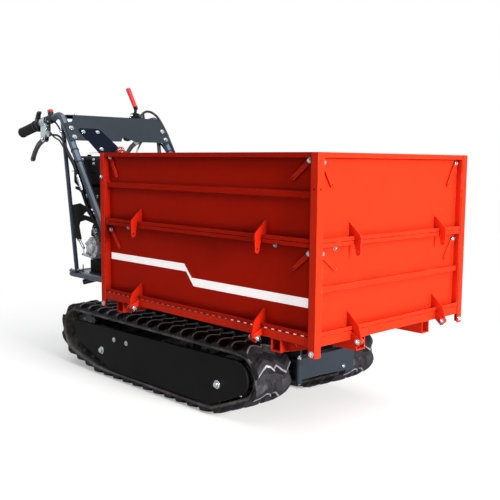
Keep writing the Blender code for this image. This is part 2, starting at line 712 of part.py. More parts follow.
# y from the tube axis to a plate lying on the front of the raked tubes
CONSOLE_OFF = -(HANDLE_R * math.sqrt(1 + RAKE * RAKE)) - PLATE_GAP

# x, z of the console plate
CONSOLE = [(-0.262, 0.937), (-0.012, 0.937), (0.000, 0.952), (0.014, 0.960), (0.030, 0.952),
           (0.046, 0.945), (0.062, 0.937), (0.262, 0.937), (0.268, 0.975), (0.262, 1.020),
           (0.244, 1.0464), (-0.205, 1.0464), (-0.222, 1.018), (-0.262, 1.010)]

# x, z, sides of the console's bolt holes
CONSOLE_HOLES = [(-0.2385, 0.990, 8), (-0.2385, 0.9525, 8),
                 (0.2385, 0.9904, 9), (0.2385, 0.9529, 9)]

# y, z of the ear that holds the gear lever
GEAR_EAR = [(0.9363, 0.9450), (0.9600, 0.9400), (0.9850, 0.9440), (0.9960, 0.9550),
            (0.9850, 0.9660), (0.9497, 0.9650)]

# x, z of the tank bracket
TANK_BRACKET = [(-0.208, 0.982), (-0.200, 0.990), (-0.110, 0.990), (-0.100, 0.984),
                (-0.036, 0.905), (-0.034, 0.893), (-0.042, 0.885), (-0.140, 0.878),
                (-0.150, 0.884)]

# y, z of the brake lever's hanging ears and of its blade
BRAKE_EAR = [(1.140, 1.0155), (1.140, 0.982), (1.158, 0.938), (1.172, 0.932),
             (1.186, 0.940), (1.190, 0.955), (1.186, 1.0115)]
BRAKE_BLADE = [(1.162, 0.956), (1.172, 0.9585), (1.184, 0.955), (1.200, 0.944),
               (1.228, 0.930), (1.258, 0.905), (1.280, 0.876), (1.292, 0.858),
               (1.286, 0.848), (1.272, 0.852), (1.262, 0.872), (1.242, 0.898),
               (1.216, 0.918), (1.190, 0.930), (1.170, 0.936), (1.160, 0.944)]

# y, z of the throttle lever, from its pivot
THROTTLE = [(-0.008, -0.004), (0, -0.0075), (0.008, -0.002), (0.004, 0.016),
            (-0.006, 0.030), (-0.016, 0.034), (-0.017, 0.026), (-0.009, 0.014)]

# radius, height of the stop button
STOP_BUTTON = [(0.0, 0.0140), (0.0080, 0.0135), (0.0115, 0.0110), (0.0130, 0.0085),
               (0.0130, 0.0045), (0.0045, 0.0040), (0.0045, -0.0040), (0.0, -0.0040)]

# radius, height of the clutch lever's knob
CLUTCH_KNOB = [(0.0, 0.0915), (0.0060, 0.0900), (0.0092, 0.0840), (0.0098, 0.0640),
               (0.0082, 0.0450), (0.0098, 0.0250), (0.0105, 0.0060), (0.0090, 0.0),
               (0.0, 0.0)]

GEAR_PIVOT = (0.055, 0.9850, 0.9550)
BRAKE_PIVOT = (-HANDLE_X, 1.172, 0.948)
CLUTCH_PIVOT = (0.125, 1.020, 1.0600)


def raked_plate(outline, thickness, holes=(), offset=0.0):
    """A plate drawn in x and z, laid on the raked plane of the tubes."""
    piece = plate(outline, 'Y', -thickness, 0.0, holes)
    y_at_zero = RAKE_Y - RAKE * RAKE_Z + CONSOLE_OFF + offset
    return mapped(piece, Matrix(((1, 0, 0, 0), (0, 1, RAKE, y_at_zero),
                                 (0, 0, 1, 0), (0, 0, 0, 1))))


def build_console():
    console = raked_plate(CONSOLE, CONSOLE_T,
                          [circle(x, z, 0.004, sides) for x, z, sides in CONSOLE_HOLES])
    # top flange running rearward, with a turned-down lip
    top_y = raked_y(1.047) + CONSOLE_OFF
    flange = box(-0.228, 0.228, top_y - 0.0015, top_y + 0.050, 1.0435, 1.0470)
    lip = box(-0.2275, 0.2275, top_y + 0.0468, top_y + 0.0496, 1.0320, 1.0465)
    console = union(console, flange, lip, plate(GEAR_EAR, 'X', 0.0400, 0.0445),
                    rod_on('X', GEAR_PIVOT[1:], 0.0405, 0.0680, 0.0040, 10))
    finish("console_plate", console, "slate_paint", (0, 0.98, 0.99))


def build_tank_bracket():
    bracket = raked_plate(TANK_BRACKET, 0.004, offset=-CONSOLE_T - PLATE_GAP)
    holes = [rod_on('Y', (x, 0.975), 0.80, 1.05, 0.004, 10) for x in (-0.190, -0.120)]
    finish("tank_bracket", cut(bracket, *holes), "navy_paint", (-0.12, 0.93, 0.94))


def build_brake_levers():
    """Clamps round the tubes with a hanging fork, and the lever blades."""
    x, pivot = -HANDLE_X, BRAKE_PIVOT[1:]
    centre = on_grip(1.165)
    clamp = rod_on_grip(centre, 0.020, 0.0210, 14)
    ears = [plate(BRAKE_EAR, 'X', x + x0, x + x1)
            for x0, x1 in ((-0.0110, -0.0075), (0.0075, 0.0110))]
    front_web = box(x - 0.0110, x + 0.0110, 1.138, 1.1415, 0.982, 1.0135)
    pin = rod_on('X', pivot, x - 0.0135, x + 0.0135, 0.0038, 12)
    bracket = union(clamp, *ears, front_web, pin)
    bracket = cut(bracket, rod_on_grip(centre, 0.06, HANDLE_R + 0.0008, 14))
    finish_pair("lever_bracket", bracket, "zinc", BRAKE_PIVOT)
    blade = plate(BRAKE_BLADE, 'X', x - 0.0068, x + 0.0068, [circle(*pivot, 0.0043, 12)])
    finish_pair("brake_lever", blade, "zinc", BRAKE_PIVOT)


def build_stop_switch():
    """Stop switch on the left tube."""
    centre = on_grip(1.112)
    body = union(rod_on_grip(centre, 0.013, 0.0200, 14),
                 rod(centre + GRIP_UP * 0.012, centre + GRIP_UP * 0.0275, 0.0120, 14))
    body = cut(body, rod_on_grip(centre, 0.05, HANDLE_R + 0.0008, 14),
               rod(centre + GRIP_UP * 0.0195, centre + GRIP_UP * 0.0400, 0.0056, 10))
    finish("stop_switch_body", body, "black_plastic", centre)
    button = turned_along(STOP_BUTTON, centre + GRIP_UP * 0.0280, GRIP_UP, 14)
    finish("stop_button", button, "red_plastic", centre + GRIP_UP * 0.0320)


def build_throttle():
    """Thumb throttle just ahead of the left grip."""
    pivot = THROTTLE_PIVOT.yz
    lever = plate(shifted(THROTTLE, pivot), 'X', -HANDLE_X - 0.0090, -HANDLE_X + 0.0090,
                  [circle(*pivot, 0.0030, 8)])
    finish("throttle_lever", lever, "black_plastic", THROTTLE_PIVOT)


def build_clutch_lever():
    x, y, z = CLUTCH_PIVOT
    base = box(x - 0.023, x + 0.023, y - 0.016, y + 0.016, 1.0474, 1.0500)
    cheek = [(y - 0.014, 1.0478), (y + 0.014, 1.0478), (y + 0.010, 1.066),
             (y, 1.071), (y - 0.010, 1.066)]
    bracket = union(base, plate(cheek, 'X', 0.108, 0.113), plate(cheek, 'X', 0.137, 0.142),
                    rod_on('X', (y, z), x - 0.020, x + 0.020, 0.0040, 12))
    finish("clutch_lever_bracket", bracket, "black_paint", CLUTCH_PIVOT)

    up = Vector((0, 0.42, 0.9075)).normalized()
    pivot = Vector(CLUTCH_PIVOT)
    boss = cut(rod_on('X', (y, z), x - 0.0095, x + 0.0095, 0.0085, 14),
               rod_on('X', (y, z), x - 0.025, x + 0.025, 0.0045, 10))
    shaft = rod(pivot + up * 0.006, pivot + up * 0.060, 0.0058, 8)
    knob = turned_along(CLUTCH_KNOB, pivot + up * 0.045, up, 12)
    finish("clutch_lever", union(boss, shaft, knob), "red_plastic", CLUTCH_PIVOT)


def build_gear_lever():
    """Gear lever behind the console."""
    x, y, z = GEAR_PIVOT
    boss = cut(rod_on('X', (y, z), x - 0.008, x + 0.008, 0.0110, 14),
               rod_on('X', (y, z), x - 0.025, x + 0.025, 0.0047, 10))
    path = [(x, 0.9935, 0.9600), (0.062, 1.0150, 0.9660),
            (0.075, 1.0800, 0.9850), (0.075, 1.1010, 0.9990)]
    knob = rod((0.075, 1.098, 0.995), (0.075, 1.113, 1.016), 0.0150, 14, end_radius=0.0125)
    lever = union(boss, tube(fillet(path, 0.02, 3), 0.0050), knob)
    finish("gear_lever", lever, "black_plastic", GEAR_PIVOT)


# --------------------------------------------------------------------- bed
# Sides are drawn in tray coordinates: u along the side, w outward from the
# tray face, z up.  These matrices carry (u, w, z) to the bed.
TRAY_X, TRAY_Y = BED_X - FACE, BED_Y - FACE
TO_LEFT = Matrix(((0, -1, 0, -TRAY_X), (1, 0, 0, 0), (0, 0, 1, 0), (0, 0, 0, 1)))
TO_FRONT = Matrix(((-1, 0, 0, 0), (0, -1, 0, -TRAY_Y), (0, 0, 1, 0), (0, 0, 0, 1)))
TO_REAR = Matrix(((1, 0, 0, 0), (0, 1, 0, TRAY_Y), (0, 0, 1, 0), (0, 0, 0, 1)))
SWAP_UW = Matrix(((0, 1, 0, 0), (1, 0, 0, 0), (0, 0, 1, 0), (0, 0, 0, 1)))

HALF_SIDE = BED_Y - POST_LEG - 0.0015     # half length of a side between posts
HALF_FRONT = BED_X - POST_LEG - 0.0015
SHEET_W = -TRAY_D + SHEET                 # outer face of the tray sheet
BITE_W = SHEET_W - 0.0005                 # how far welded parts run into it
ARM_T = 0.005                             # hinge arm plate
UPPER_BOLT = (0.0160, 0.603)              # w, z of the hole in an upper arm
LATCH_Z, LATCH_INSET = 0.603, 0.0160      # latch bolt, inset from the tray's end
FRONT_RIB, SIDE_RIB = (0.490, 0.512), (0.755, 0.777)    # z limits

RAIL_INSET, RAIL_T, RAIL_W = 0.0035, 0.003, 0.034
RAIL_X, RAIL_Y = BED_X - RAIL_INSET, BED_Y - RAIL_INSET

# w, z of the clevis cheek
CLEVIS = [(-0.0030, 0.3665), (HINGE_OUT + 0.006, 0.3500), (HINGE_OUT + 0.0095, HINGE_Z),
          (HINGE_OUT + 0.004, 0.3345), (HINGE_OUT - 0.004, 0.3260), (-0.0030, 0.3480)]

# w, z of the hinge arm of a lower side
LOWER_ARM = [(BITE_W, 0.420), (BITE_W, 0.376), (0.0012, 0.376), (0.0012, 0.366),
             (HINGE_OUT - 0.014, 0.344), (HINGE_OUT - 0.010, HINGE_Z - 0.0070),
             (HINGE_OUT, HINGE_Z - 0.0105), (HINGE_OUT + 0.0085, HINGE_Z - 0.0060),
             (HINGE_OUT + 0.0095, HINGE_Z + 0.002), (HINGE_OUT + 0.004, 0.372),
             (HINGE_OUT - 0.002, 0.390), (-0.0165, 0.4245), (BITE_W, 0.4245)]

# w, z of the arm that joins an upper side to the lower one
UPPER_ARM = [(BITE_W, 0.682), (BITE_W, 0.638), (0.0012, 0.638), (0.0012, 0.630),
             (0.0080, 0.596), (0.0120, 0.5905), (0.0190, 0.5905), (0.0240, 0.596),
             (0.0260, 0.640), (0.0230, 0.650), (-0.0165, 0.6855), (BITE_W, 0.6855)]

# y, z of the gusset by each front corner
GUSSET = [(-0.361, 0.3065), (-0.361, 0.3450), (-0.520, 0.3450), (-0.470, 0.3250),
          (-0.420, 0.3100)]

# y, z of the lug that hangs on the tipping rod, from the rod
TIP_LUG = [(-0.030, 0.030), (-0.016, -0.008), (-0.008, -0.0155),
           (0.008, -0.0155), (0.016, -0.008), (0.030, 0.030)]


def plate_along_u(outline, u0, u1, holes=()):
    """Outline in (w, z), extruded along u."""
    return mapped(plate(outline, 'Y', u0, u1, holes), SWAP_UW)


def clevis(u):
    """Two cheeks and a pin, in tray coordinates."""
    starts = (u - ARM_T / 2 - 0.0040, u + ARM_T / 2 + 0.0008)
    parts = [plate_along_u(CLEVIS, start, start + 0.0032) for start in starts]
    parts.append(rod_on('X', (HINGE_OUT, HINGE_Z), u - 0.0090, u + 0.0090, PIN_R, 8))
    return parts


def build_bed_frame():
    # angle rail: upright web with a flange turned in at the top
    wall = RAIL_INSET + RAIL_T
    rail = cut(box(-RAIL_X, RAIL_X, -RAIL_Y, RAIL_Y, RAIL_LO, RAIL_HI),
               box(-BED_X + wall, BED_X - wall, -BED_Y + wall, BED_Y - wall,
                   RAIL_LO - 0.01, RAIL_HI - RAIL_T),
               box(-BED_X + RAIL_W, BED_X - RAIL_W, -BED_Y + RAIL_W, BED_Y - RAIL_W,
                   RAIL_LO - 0.01, RAIL_HI + 0.01))
    parts = []
    # cross tubes, hollow at their ends
    for y in (0.417, -0.377):
        bar = box(-RAIL_X + 0.001, RAIL_X - 0.001, y - 0.020, y + 0.020, 0.3050, 0.3450)
        pockets = [box(side * (RAIL_X + 0.02), side * (RAIL_X - 0.060),
                       y - 0.0165, y + 0.0165, 0.3085, 0.3415) for side in (-1, 1)]
        parts.append(cut(bar, *pockets))
    for side in (-1, 1):
        parts.append(square_tube(side * 0.150, side * 0.190, -RAIL_Y + 0.001, RAIL_Y - 0.001,
                                 0.3052, 0.3452, wall=0.003))
        parts.append(plate(shifted(TIP_LUG, (TIP_Y, TIP_Z)), 'X', side * 0.160, side * 0.180,
                           [circle(TIP_Y, TIP_Z, TIP_R + 0.0007, 16)]))
        parts.append(plate(GUSSET, 'X', side * 0.3480, side * 0.3520,
                           [circle(-0.434, 0.3290, 0.0050, 6)]))
    # slats under the floor
    for y in (-0.200, 0.000, 0.200):
        parts.append(box(-RAIL_X + 0.002, RAIL_X - 0.002, y - 0.015, y + 0.015,
                         0.3445, 0.3690))
    for u in SIDE_HINGES:
        for matrix in (TO_LEFT, MIRROR @ TO_LEFT):
            parts += [mapped(part, matrix) for part in clevis(u)]
    for u in FRONT_HINGES:
        parts += [mapped(part, TO_FRONT) for part in clevis(u)]
    frame = union(rail, *parts)
    # drain holes in the middle of the two long members
    drains = [rod_on('Z', (x, 0.0), 0.295, 0.320, 0.0060, 10) for x in (-0.170, 0.170)]
    finish("bed_frame", cut(frame, *drains), "red_paint", (0, TIP_Y, TIP_Z))


def build_bed_floor():
    half_x, half_y = BED_X - 0.028, BED_Y - 0.028
    bottom = RAIL_HI + 0.0005
    floor = box(-half_x, half_x, -half_y, half_y, bottom, bottom + SHEET)
    finish("bed_floor", floor, "red_paint", (0, 0, RAIL_HI))


def build_corner_posts():
    section = [(0, 0), (POST_LEG, 0), (POST_LEG, POST_T), (POST_T, POST_T),
               (POST_T, POST_LEG), (0, POST_LEG)]
    hole_at = (POST_LEG * 0.55, 0.782)
    for end, side_y in (("front", -1), ("rear", 1)):
        for side, side_x in (("left", -1), ("right", 1)):
            post = cut(plate(section, 'Z', POST_LO, POST_HI),
                       rod_on('Y', hole_at, -0.02, 0.02, 0.0035, 6),
                       rod_on('X', hole_at, -0.02, 0.02, 0.0035, 6))
            corner = (side_x * BED_X, side_y * BED_Y)
            matrix = Matrix(((-side_x, 0, 0, corner[0]), (0, -side_y, 0, corner[1]),
                             (0, 0, 1, 0), (0, 0, 0, 1)))
            finish("%s_%s_post" % (end, side), mapped(post, matrix), "red_paint",
                   (*corner, POST_LO))


def tray(half, z0, z1, rib=None):
    """Sheet with four outward flanges, each with a lip; rib is its z limits."""
    top_lip = 0.0145 if z1 == UPPER_HI else 0.0110
    inner = half - SHEET
    piece = cut(box(-half, half, -TRAY_D, 0.0, z0, z1),
                box(-inner, inner, SHEET_W, -SHEET, z0 + SHEET, z1 - SHEET),
                box(-inner, inner, -0.0035, 0.01, z0 + 0.0110, z1 - top_lip))
    if rib:
        low, high = rib
        outline = [(BITE_W, low), (BITE_W + 0.0120, low + 0.004),
                   (BITE_W + 0.0120, high - 0.002), (BITE_W, high)]
        piece = union(piece, plate_along_u(outline, -half + 0.002, half - 0.002))
    return piece


def with_arms(piece, hinges, outline, hole):
    for u in hinges:
        piece = union(piece, plate_along_u(outline, u - ARM_T / 2, u + ARM_T / 2, [hole]))
    return piece


def drop_side(hinges, half, lower_rib, upper_rib):
    """Lower and upper tray of one side, with their arms."""
    lower = with_arms(tray(half, LOWER_LO, LOWER_HI, lower_rib), hinges, LOWER_ARM,
                      circle(HINGE_OUT, HINGE_Z, PIN_R + 0.0006, 10))
    upper = with_arms(tray(half, UPPER_LO, UPPER_HI, upper_rib), hinges, UPPER_ARM,
                      circle(*UPPER_BOLT, 0.0036, 10))
    return lower, upper


def build_sides():
    lower, upper = drop_side(SIDE_HINGES, HALF_SIDE, None, SIDE_RIB)
    origin = (-(TRAY_X + HINGE_OUT), 0.0, HINGE_Z)
    finish_pair("lower_side", mapped(lower, TO_LEFT), "red_paint", origin)
    finish_pair("upper_side", mapped(upper, TO_LEFT), "red_paint", origin)

    lower, upper = drop_side(FRONT_HINGES, HALF_FRONT, FRONT_RIB, None)
    origin = (0.0, -(TRAY_Y + HINGE_OUT), HINGE_Z)
    finish("front_lower_side", mapped(lower, TO_FRONT), "red_paint", origin)
    finish("front_upper_side", mapped(upper, TO_FRONT), "red_paint", origin)


def build_headboard():
    """Fixed rear board, one tray high with a bar at the level of the split."""
    board = tray(HALF_FRONT, LOWER_LO, UPPER_HI, FRONT_RIB)
    board = union(board, box(-HALF_FRONT + 0.002, HALF_FRONT - 0.002, BITE_W, 0.0,
                             LOWER_HI - 0.001, UPPER_LO + 0.001))
    finish("rear_headboard", mapped(board, TO_REAR), "red_paint", (0, BED_Y, RAIL_HI))


def latch(u, toward, degrees_down):
    """Flat latch bar lying in the tray, sloping down toward +u or -u from the
    bolt it pivots on."""
    w0, w1 = SHEET_W + 0.0012, SHEET_W + 0.0046
    length, pivot_r, tip_r = 0.078, 0.0080, 0.0062
    cos, sin = math.cos(math.radians(-degrees_down)), math.sin(math.radians(-degrees_down))

    def placed(along, across):
        return (u + toward * (along * cos - across * sin),
                LATCH_Z + along * sin + across * cos)

    outline = []
    for centre, radius, start in ((0.0, pivot_r, math.pi / 2), (length, tip_r, -math.pi / 2)):
        for k in range(7):
            angle = start + math.pi * k / 6
            outline.append(placed(centre + radius * math.cos(angle),
                                  radius * math.sin(angle)))
    bar = plate(outline, 'Y', w0, w1, [circle(*placed(length, 0.0), 0.0028, 8)])
    return union(bar, rod_on('Y', (u, LATCH_Z), w1 - 0.0003, w1 + 0.0050, 0.0065, 6))


def build_latches():
    inward = TRAY_D - SHEET - 0.003       # origin, in from the tray face
    reach = HALF_SIDE - LATCH_INSET
    for end, u, toward, down in (("front", -reach, 1, 39), ("rear", reach, -1, 53)):
        finish_pair(end + "_latch", mapped(latch(u, toward, down), TO_LEFT), "red_paint",
                    (-TRAY_X + inward, u, LATCH_Z))
    reach = HALF_FRONT - LATCH_INSET
    for side, u, toward, down in (("left", reach, -1, 39), ("right", -reach, 1, 53)):
        finish("front_%s_latch" % side, mapped(latch(u, toward, down), TO_FRONT),
               "red_paint", (-u, -TRAY_Y + inward, LATCH_Z))


# -------------------------------------------------------------------- build
for build in (build_track_belts, build_idler_wheels, build_drive_sprockets,
              build_road_rollers, build_track_frames, build_side_covers,
              build_chassis, build_front_guard,
              build_gearbox, build_engine_platform, build_engine_block,
              build_drive_housing, build_recoil_starter, build_fuel_tank,
              build_muffler_guard, build_handle_tubes, build_grips,
              build_console, build_tank_bracket, build_brake_levers,
              build_stop_switch, build_throttle, build_clutch_lever, build_gear_lever,
              build_bed_frame, build_bed_floor, build_corner_posts,
              build_sides, build_headboard, build_latches):
    build()

bpy.data.collections.remove(WORKSHOP)
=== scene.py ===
# A walk-behind tracked dumper: a red tipping bed between two rubber tracks, with the engine
# and the handles behind it.
# Metres. x runs from left (-) to right (+), y from front (-) to back (+), z up from the ground.
# CAD pieces are kept and finished; bolts, cables, tracks and other detail are built here.
import bmesh
import bpy
import math
from bisect import bisect_right
from mathutils import Matrix, Vector

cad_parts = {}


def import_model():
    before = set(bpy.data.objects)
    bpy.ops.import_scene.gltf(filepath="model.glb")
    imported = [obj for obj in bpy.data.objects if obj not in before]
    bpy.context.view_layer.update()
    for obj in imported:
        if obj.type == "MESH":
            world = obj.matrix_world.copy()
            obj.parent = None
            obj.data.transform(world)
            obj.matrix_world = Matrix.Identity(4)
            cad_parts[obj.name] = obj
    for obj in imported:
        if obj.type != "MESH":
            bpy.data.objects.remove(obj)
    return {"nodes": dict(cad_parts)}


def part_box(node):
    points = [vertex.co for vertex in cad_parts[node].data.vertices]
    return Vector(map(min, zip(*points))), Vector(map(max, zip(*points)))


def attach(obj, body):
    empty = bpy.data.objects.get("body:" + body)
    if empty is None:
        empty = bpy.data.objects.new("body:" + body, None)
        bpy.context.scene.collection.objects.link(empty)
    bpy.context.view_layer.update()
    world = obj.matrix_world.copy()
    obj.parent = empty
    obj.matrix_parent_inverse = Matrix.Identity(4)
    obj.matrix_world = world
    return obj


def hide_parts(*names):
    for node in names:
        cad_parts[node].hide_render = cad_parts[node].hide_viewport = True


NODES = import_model()["nodes"]
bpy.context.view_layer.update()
_bed_low, _bed_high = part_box("bed_floor")
BED_Y = (_bed_low.y + _bed_high.y) / 2

X, Y, Z = Vector((1, 0, 0)), Vector((0, 1, 0)), Vector((0, 0, 1))
SIDES = (("left", -1), ("right", 1))


def at(x, y, z):
    """A point whose y is measured from the bed's centre."""
    return Vector((x, y + BED_Y, z))


def points(rows, sx=1):
    """Points from rows of (x, y, z), with x turned to the side sx."""
    return [at(sx * x, y, z) for x, y, z in rows]


# =====================================================================
# Material builders
# =====================================================================
MATERIALS = {}


class Nodes:
    """The node tree of a material or a world. A value is a number, a colour or an output."""

    def __init__(self, owner):
        owner.use_nodes = True
        self.tree = owner.node_tree
        self.tree.nodes.clear()

    def feed(self, socket, value):
        if isinstance(value, bpy.types.NodeSocket):
            self.tree.links.new(value, socket)
        else:
            socket.default_value = (*value, 1) if socket.type == 'RGBA' else value

    def add(self, kind, inputs=None, **props):
        node = self.tree.nodes.new("ShaderNode" + kind)
        for key, value in props.items():
            setattr(node, key, value)
        for key, value in (inputs or {}).items():
            self.feed(node.inputs[key], value)
        return node

    def maths(self, operation, a, b, clamp=False):
        node = self.add("Math", {0: a, 1: b}, operation=operation, use_clamp=clamp)
        return node.outputs[0]

    def multiply(self, a, b, clamp=False):
        return self.maths('MULTIPLY', a, b, clamp)


class Shader(Nodes):
    """A material with a principled surface; textures follow the object's own coordinates."""

    def __init__(self, name):
        self.material = bpy.data.materials.new(name)
        super().__init__(self.material)
        self.output = self.add("OutputMaterial")
        self.bsdf = self.add("BsdfPrincipled")
        self.feed(self.output.inputs["Surface"], self.bsdf.outputs[0])
        self.place = self.add("TexCoord").outputs["Object"]
        MATERIALS[name] = self.material

    def surface(self, inputs):
        for key, value in inputs.items():
            self.feed(self.bsdf.inputs[key], value)

    def noise(self, scale, detail=4.0, rough=0.55, stretch=None):
        place = self.place
        if stretch:
            place = self.add("Mapping", {"Vector": place, "Scale": stretch}).outputs[0]
        inputs = {"Vector": place, "Scale": scale, "Detail": detail, "Roughness": rough}
        return self.add("TexNoise", inputs).outputs[0]

    def ramp(self, source, span, values):
        """Takes source over the span from the first to the second grey or colour."""
        node = self.add("ValToRGB", {0: source})
        for stop, position, value in zip(node.color_ramp.elements, span, values):
            stop.position = position
            stop.color = (*value, 1) if isinstance(value, tuple) else (value, value, value, 1)
        return node.outputs[0]

    def mix(self, amount, a, b, blend='MIX'):
        inputs = {0: amount, 6: a, 7: b}
        return self.add("Mix", inputs, data_type='RGBA', blend_type=blend).outputs[2]

    def rounded(self, radius):
        """The normal with its edges rounded off."""
        return self.add("Bevel", {"Radius": radius}, samples=4).outputs[0]

    def edge_mask(self, radius, low, high):
        """1 on edges, from the angle between the rounded and the true normal."""
        normal = self.rounded(radius)
        true_normal = self.add("NewGeometry").outputs["True Normal"]
        dot = self.add("VectorMath", {0: normal, 1: true_normal}, operation='DOT_PRODUCT')
        turn = self.maths('SUBTRACT', 1.0, dot.outputs["Value"])
        inputs = {"From Min": low, "From Max": high, "Value": turn}
        return self.add("MapRange", inputs).outputs[0]

    def openness(self, reach, power):
        """1 in the open, lower in corners closer than reach."""
        node = self.add("AmbientOcclusion", {"Distance": reach}, samples=6)
        return self.maths('POWER', node.outputs["AO"], power)

    def dirty_shaded_corners(self, colour, corner_dirt_shade, reach, power, amount):
        """Lays dirt and painted shade into the corners."""
        closed = self.maths('SUBTRACT', 1.0, self.openness(reach, power))
        return self.mix(self.multiply(closed, amount, clamp=True), colour, corner_dirt_shade)

    def bump(self, height, strength, distance, normal):
        inputs = {"Strength": strength, "Distance": distance, "Height": height, "Normal": normal}
        return self.add("Bump", inputs).outputs[0]


def scaled(rgb, factor, lift=0.0):
    return tuple(min(1.0, c * factor + lift) for c in rgb)


def paint(name, rgb, rough, edge, corner_dirt_shade, corner_dirt_shade_amount, var, peel, edge_wear_and_highlight_amount=0.5, spec=0.12, coat=0.0):
    """Paint with dirt and painted shade in its corners, edges lightened to the edge colour as wear
    and painted highlight, and orange peel.
    """
    shader = Shader(name)
    broad = shader.noise(scale=2.2, detail=5, rough=0.6)
    fine = shader.noise(scale=38.0, detail=4, rough=0.6)
    tone = shader.ramp(broad, (0.30, 0.72), (scaled(rgb, 1 - var), scaled(rgb, 1 + var)))
    speckle = shader.ramp(fine, (0.35, 0.75), (0.93, 1.0))
    colour = shader.mix(1.0, tone, speckle, 'MULTIPLY')
    # corners darkened toward the dirt colour: dirt and painted shade
    colour = shader.dirty_shaded_corners(colour, corner_dirt_shade, reach=0.03, power=1.5, amount=corner_dirt_shade_amount)
    # edges lightened toward the edge colour: wear and painted highlight
    edges = shader.edge_mask(radius=0.0022, low=0.03, high=0.30)
    edge_breakup = shader.ramp(shader.noise(scale=120.0, detail=5, rough=0.7), (0.42, 0.62), (0.0, 1.0))
    edge_wear_and_highlight = shader.multiply(edges, edge_breakup)
    patches = shader.ramp(shader.noise(scale=11.0, detail=3, rough=0.5), (0.44, 0.58), (0.25, 1.0))
    edge_wear_and_highlight = shader.multiply(edge_wear_and_highlight, patches)
    edge_wear_and_highlight = shader.multiply(edge_wear_and_highlight, edge_wear_and_highlight_amount, clamp=True)
    gloss = shader.noise(scale=9.0, detail=5, rough=0.65)
    shader.surface({
        "Base Color": shader.mix(edge_wear_and_highlight, colour, edge),
        "Roughness": shader.ramp(gloss, (0.3, 0.75), (rough * 0.85, rough * 1.25)),
        "Specular IOR Level": spec,
        "Coat Weight": coat,
        "Coat Roughness": 0.18,
    })
    normal = shader.rounded(0.0012)
    grain = shader.noise(scale=420.0, detail=2, rough=0.5)
    shader.surface({"Normal": shader.bump(grain, peel, distance=0.0004, normal=normal)})
    return shader


def metal(name, rgb, rough, grain, tint, stretch=(1, 1, 14), corner_dirt_shade_amount=0.45, metallic=1.0):
    """Metal mottled between tint and rgb, with scratches drawn out by stretch."""
    shader = Shader(name)
    mottle = shader.noise(scale=26.0, detail=4, rough=0.6)
    colour = shader.ramp(mottle, (0.32, 0.70), (tint, rgb))
    # corners darkened toward near-black: dirt and painted shade
    colour = shader.dirty_shaded_corners(colour, (0.03, 0.03, 0.032), reach=0.010, power=1.4, amount=corner_dirt_shade_amount)
    scratches = shader.noise(scale=220.0, detail=3, rough=0.6, stretch=stretch)
    normal = shader.rounded(0.0008)
    shader.surface({
        "Base Color": colour,
        "Metallic": metallic,
        "Roughness": shader.ramp(scratches, (0.30, 0.75), (rough * 0.75, rough * 1.35)),
        "Normal": shader.bump(scratches, grain, distance=0.0003, normal=normal),
    })


def plastic(name, rgb, rough, grain, scale, var=0.25, coat=0.0):
    """Plastic with a moulded grain of the given scale and paler edges."""
    shader = Shader(name)
    mottle = shader.noise(scale=12.0, detail=4, rough=0.6)
    tones = (scaled(rgb, 1 - var), scaled(rgb, 1 + var, lift=0.004))
    colour = shader.ramp(mottle, (0.3, 0.75), tones)
    edges = shader.edge_mask(radius=0.0018, low=0.04, high=0.4)
    pale = shader.multiply(edges, 0.25, clamp=True)
    colour = shader.mix(pale, colour, scaled(rgb, 2.2, lift=0.03))
    gloss = shader.noise(scale=30.0, detail=4, rough=0.6)
    cells = shader.add("TexVoronoi", {"Scale": scale, "Vector": shader.place}).outputs["Distance"]
    normal = shader.rounded(0.0010)
    shader.surface({
        "Base Color": colour,
        "Roughness": shader.ramp(gloss, (0.3, 0.75), (rough * 0.85, rough * 1.2)),
        "Coat Weight": coat,
        "Specular IOR Level": 0.25,
        "Normal": shader.bump(cells, grain, distance=0.0003, normal=normal),
    })
    return shader


def rubber(name, rgb, dust, edge, dust_amount, edge_amount, edge_radius=0.0028):
    """Rubber with patches of dust and scuffed edges."""
    shader = Shader(name)
    broad = shader.noise(scale=14.0, detail=6, rough=0.65)
    fine = shader.noise(scale=60.0, detail=5, rough=0.6)
    colour = shader.ramp(broad, (0.30, 0.72), (scaled(rgb, 0.65), scaled(rgb, 1.7)))
    patches = shader.ramp(broad, (0.44, 0.78), (0.0, 1.0))
    specks = shader.ramp(fine, (0.35, 0.70), (0.2, 1.0))
    dusty = shader.multiply(shader.multiply(patches, specks), dust_amount, clamp=True)
    colour = shader.mix(dusty, colour, dust)
    edges = shader.edge_mask(edge_radius, low=0.10, high=0.42)
    breaks = shader.ramp(shader.noise(scale=48.0, detail=4, rough=0.6), (0.40, 0.62), (0.10, 1.0))
    scuffs = shader.multiply(shader.multiply(edges, breaks), edge_amount, clamp=True)
    scuffs = shader.multiply(scuffs, shader.openness(reach=0.012, power=2.2), clamp=True)
    shader.surface({
        "Base Color": shader.mix(scuffs, colour, edge),
        "Roughness": shader.ramp(fine, (0.3, 0.75), (0.46, 0.80)),
        "Specular IOR Level": 0.22,
    })
    pores = shader.noise(scale=240.0, detail=4, rough=0.6)
    normal = shader.bump(pores, 0.35, distance=0.0006, normal=shader.rounded(0.0006))
    shader.surface({"Normal": shader.bump(broad, 0.25, distance=0.002, normal=normal)})
    return shader


# =====================================================================
# Materials
# =====================================================================
RED = (0.60, 0.021, 0.006)
SLATE_EDGE, SLATE_CORNER_DIRT_SHADE = (0.26, 0.32, 0.40), (0.006, 0.007, 0.009)


